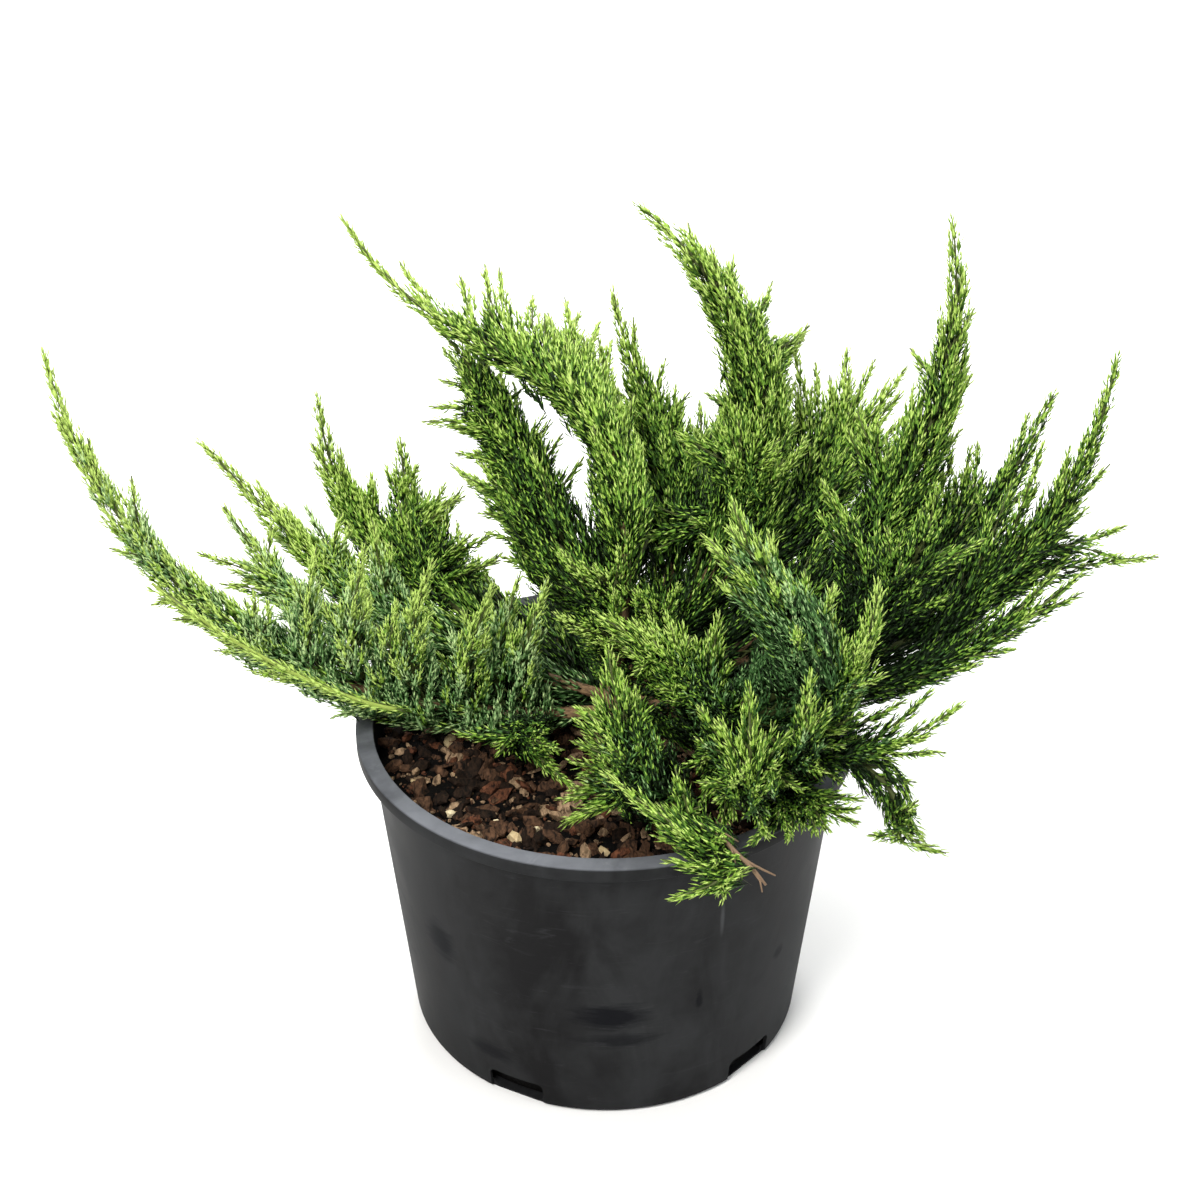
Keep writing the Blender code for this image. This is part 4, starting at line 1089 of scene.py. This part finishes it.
def buildPot():
    p = pot
    under = p["height"] - p["lip"]
    outline = [
        (0, p["floor"]), (wallRadius(p["floor"]) - p["wall"] - 3, p["floor"]),
        (wallRadius(p["floor"] + 3) - p["wall"], p["floor"] + 3),
        (wallRadius(under - 5) - p["wall"], under - 5),
        (p["rimInner"], p["height"]), (p["rimRadius"], p["height"]),
        (p["rimRadius"], p["height"] - p["lipHeight"]), (p["rimRadius"] - p["lip"], p["height"] - p["lipHeight"]),
        (p["rimRadius"] - p["lip"], under), (wallRadius(under), under),
        (wallRadius(100), 100), (wallRadius(7), 7), (wallRadius(2.4), 2.4), (p["foot"] - 2.6, 0), (0, 0),
    ]
    bm = bmesh.new()
    verts = [bm.verts.new((r * mm, 0, z * mm)) for r, z in outline]
    line = [bm.edges.new(pair) for pair in zip(verts, verts[1:])]
    bmesh.ops.spin(
        bm, geom=verts + line, cent=(0, 0, 0), axis=(0, 0, 1), angle=2 * math.pi,
        steps=p["sides"], use_merge=True)
    bmesh.ops.remove_doubles(bm, verts=bm.verts[:], dist=0.00001)
    corners = []
    for edge in bm.edges:
        level = abs(edge.verts[0].co.z - edge.verts[1].co.z) < 1e-6
        if level and len(edge.link_faces) == 2 and edge.calc_face_angle() > math.radians(25):
            corners.append(edge)
    bmesh.ops.bevel(
        bm, geom=corners, offset=0.7 * mm, offset_type="OFFSET", segments=3, profile=0.5,
        affect="EDGES", material=-1)
    bmesh.ops.recalc_face_normals(bm, faces=bm.faces[:])
    piece = pieceFromBmesh("pot_body", bm, plasticLook())
    cutters = []
    # each slot is cut through the wall's foot, and deeper above the base plate
    places = [(i, *cut) for i in range(p["slots"]) for cut in p["slotCuts"]]
    for i, low, top, depth, width in places:
        turn = math.radians(p["slotFirst"] + i * 360 / p["slots"])
        cutter = bmesh.new()
        bmesh.ops.create_cube(cutter, size=1)
        size = (depth * mm, width * mm, (top - low) * mm)
        bmesh.ops.scale(cutter, vec=size, verts=cutter.verts[:])
        across = [e for e in cutter.edges if abs(e.verts[0].co.x - e.verts[1].co.x) > 1e-6]
        bmesh.ops.bevel(cutter, geom=across, offset=4 * mm, segments=4, profile=0.5, affect="EDGES", material=-1)
        middle = ((p["foot"] + 3 - depth / 2) * mm, 0, (top + low) / 2 * mm)
        bmesh.ops.translate(cutter, vec=middle, verts=cutter.verts[:])
        bmesh.ops.rotate(cutter, cent=(0, 0, 0), matrix=Matrix.Rotation(turn, 3, "Z"), verts=cutter.verts[:])
        tool = pieceFromBmesh("slot_tool_%d" % len(cutters), cutter)
        step = piece.modifiers.new("slot", "BOOLEAN")
        step.operation = "DIFFERENCE"
        step.solver = "EXACT"
        step.object = tool
        cutters.append(tool)
    graph = bpy.context.evaluated_depsgraph_get()
    piece.data = bpy.data.meshes.new_from_object(piece.evaluated_get(graph))
    piece.modifiers.clear()
    for tool in cutters:
        bpy.data.objects.remove(tool, do_unlink=True)
    piece.data.set_sharp_from_angle(angle=math.radians(32))
    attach(piece, "root")
    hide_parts("pot")
    print("pot: %d faces" % len(piece.data.polygons))


# soil

soil = {
    "top": 175.5, "radius": 130.0, "lumps": 3.2, "seed": 7,
    "chips": 1900, "crumbs": 2400, "stones": 8,
    # pale stones and large chips seen in the open soil: x, y and half length in mm
    "stonePlaces": [(-90, 2, 6.0), (-49, -90, 5.8), (-85, -67, 4.4), (-38, -82, 3.6), (-1, -102, 3.8), (-60, -76, 3.0)],
    "chipPlaces": [(-74, -28, 11), (-59, -52, 9), (-92, -52, 8), (-104, -37, 7), (-66, -64, 8), (-40, -66, 8), (-90, -22, 8)],
}


def soilHeight(x, y):
    # the soil's uneven top, in mm
    spot = Vector((x, y, 0)) * 0.028
    fine = Vector((x, y, 9)) * 0.13
    return soil["top"] + soil["lumps"] * noise.noise(spot) + 1.2 * noise.noise(fine)


def soilLook():
    look = Look("soilFinesAndShade", Roughness=0.95, Specular_IOR_Level=0.1)
    where = look.place()
    clods = look.noise(where, 160, 8, 0.7)
    spots = look.noise(where, 620, 3, 0.6)
    # the fine soil runs down to near-black: partly the soil's own dark colour, partly painted shade in the gaps between
    # the chips and behind the pot's slots
    look.feed("Base Color", look.colours(
        clods * 0.6 + spots * 0.4, (0.4, srgb(3, 2, 2)), (0.6, srgb(9, 7, 5)), (0.78, srgb(34, 24, 17))))
    look.feed("Normal", look.bump(clods + spots * 0.5, 1.0, 0.003))
    return look.material


def chipLook(name, dark, light):
    look = Look(name, Roughness=0.85, Specular_IOR_Level=0.12)
    fibre = look.noise(look.place((1, 0.35, 1)), 420, 5, 0.65, 0.8)
    look.feed("Base Color", look.colours(fibre, (0.35, srgb(*dark)), (0.68, srgb(*light))))
    look.feed("Normal", look.bump(fibre, 0.8, 0.0008))
    return look.material


def scatterBits(name, count, random, size, flat, looks, lift, places=()):
    # bark chips, crumbs or stones: uneven eight-cornered or twelve-cornered lumps on the soil
    bm = bmesh.new()
    bmesh.ops.create_icosphere(bm, subdivisions=1, radius=1)
    bm.verts.ensure_lookup_table()
    base = np.array([v.co[:] for v in bm.verts])
    faces = np.array([[v.index for v in f.verts] for f in bm.faces])
    bm.free()
    spread = np.sqrt(random.uniform(0, 1, count)) * (soil["radius"] - 3)
    bearing = random.uniform(0, 2 * math.pi, count)
    reaches = size[0] + (size[1] - size[0]) * random.uniform(0, 1, count) ** 2
    spots = list(zip(spread * np.cos(bearing), spread * np.sin(bearing), reaches)) + list(places)
    count = len(spots)
    points, corners = [], []
    for i, (x, y, reach) in enumerate(spots):
        stretch = np.array([1.0, random.uniform(0.45, 0.8), random.uniform(*flat)]) * reach
        body = base * stretch * random.uniform(0.78, 1.14, (len(base), 1))
        turn = Matrix.Rotation(random.uniform(0, 6.28), 3, "Z") @ Matrix.Rotation(random.normal(0, 0.5), 3, "X")
        turn = turn @ Matrix.Rotation(random.normal(0, 0.4), 3, "Y")
        body = body @ np.array(turn).T + (x, y, soilHeight(x, y) + reach * lift)
        points.append(body)
        corners.append(faces + i * len(base))
    points = np.concatenate(points)
    away = np.linalg.norm(points[:, :2], axis=1)
    over = away > soil["radius"] + 1
    points[over, :2] *= ((soil["radius"] + 1) / away[over])[:, None]
    corners = np.concatenate(corners)
    tones = np.repeat(random.integers(0, len(looks), count), len(faces))
    mesh = meshFromArrays(name, points, corners.ravel(), np.full(len(corners), 3), tones)
    mesh.shade_flat()
    piece = addPiece(name, mesh, *looks)
    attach(piece, "root")
    return piece


def buildSoil():
    random = np.random.default_rng(soil["seed"])
    bm = bmesh.new()
    rings = 60
    bmesh.ops.create_circle(bm, cap_ends=True, cap_tris=True, segments=120, radius=soil["radius"] * mm)
    radial = [e for e in bm.edges if not e.is_boundary]
    bmesh.ops.subdivide_edges(bm, edges=radial, cuts=rings, use_grid_fill=True)
    edge = [e for e in bm.edges if e.is_boundary]
    skirt = bmesh.ops.extrude_edge_only(bm, edges=edge)
    low = [v for v in skirt["geom"] if isinstance(v, bmesh.types.BMVert)]
    lowSet = set(low)
    for vert in bm.verts:
        if vert not in lowSet:
            vert.co.z = soilHeight(vert.co.x / mm, vert.co.y / mm) * mm
    for vert in low:
        vert.co.z = 4.5 * mm
        shrink = (wallRadius(4.5) - pot["wall"] - 4) / soil["radius"]
        vert.co.x *= shrink
        vert.co.y *= shrink
    bmesh.ops.holes_fill(bm, edges=[e for e in bm.edges if e.is_boundary], sides=0)
    bmesh.ops.recalc_face_normals(bm, faces=bm.faces[:])
    piece = pieceFromBmesh("soil_body", bm, soilLook())
    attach(piece, "root")
    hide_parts("soil")
    browns = [
        chipLook("chipBrown", (12, 8, 6), (92, 66, 48)), chipLook("chipRed", (20, 12, 8), (112, 70, 49)),
        chipLook("chipDark", (4, 3, 2), (44, 31, 22)), chipLook("chipPale", (52, 39, 28), (166, 138, 108))]
    weights = [browns[k] for k in (0, 2, 1, 2, 0, 3, 0, 2, 0, 3)]
    scatterBits("soil_chips", soil["chips"], random, (2.0, 10.0), (0.2, 0.45), weights, 0.16, soil["chipPlaces"])
    scatterBits("soil_crumbs", soil["crumbs"], random, (0.8, 2.4), (0.5, 0.9), weights, 0.2)
    pale = [chipLook("stonePale", (176, 160, 124), (216, 204, 172)), chipLook("stoneTan", (150, 128, 92), (190, 172, 134))]
    scatterBits("soil_stones", soil["stones"], random, (2.4, 4.6), (0.6, 0.85), pale, 0.35, soil["stonePlaces"])
    print("soil: chips, crumbs and stones")


# a dead forked twig that hangs over the rim

deadTwig = {
    "colour": (114, 92, 70),
    # the twig and its forks: points in mm, then radius at foot and tip
    "stems": [
        ([(47, -145, 227), (58, -155, 226), (67, -165, 222), (74, -170, 217), (79, -174, 212)], 1.5, 0.7),
        ([(67, -165, 222), (73, -167, 219), (78, -167, 216), (84, -169, 214)], 0.9, 0.4),
        ([(71, -168, 219), (76, -173, 214), (77, -177, 210)], 0.8, 0.35),
        ([(58, -155, 226), (62, -161, 225), (64, -168, 221)], 0.8, 0.35),
        ([(54, -151, 227), (60, -154, 228), (66, -156, 225)], 0.7, 0.3),
    ],
}


def buildTwig():
    rows = []
    for points, foot, tip in deadTwig["stems"]:
        rows.append(tubeRows(np.array(points, float), np.linspace(foot, tip, len(points)), 6))
    look = Look("deadWood", Base_Color=srgb(*deadTwig["colour"]), Roughness=0.85)
    twig = addPiece("dead_twig", meshFromArrays("dead_twig", *joinRows(rows)), look.material)
    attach(twig, "root")
    print("dead twig: %d stems" % len(rows))


def buildGreenStem():
    # the long arm's leafy leader, pale on its underside
    rib = growth["rib"]
    parts = np.linspace(0, 1, 30)
    row = tubeRows(cubic(np.array(rib["line"], float), parts), np.linspace(rib["wood"], 0.8, 30), 7)
    look = Look("greenStem", Base_Color=srgb(*rib["colour"]), Roughness=0.7, Specular_IOR_Level=0.2)
    stem = addPiece("green_stem", meshFromArrays("green_stem", *joinRows([row])), look.material)
    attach(stem, "root")
    print("green stem")


buildPot()
buildSoil()
buildTwig()
buildGreenStem()
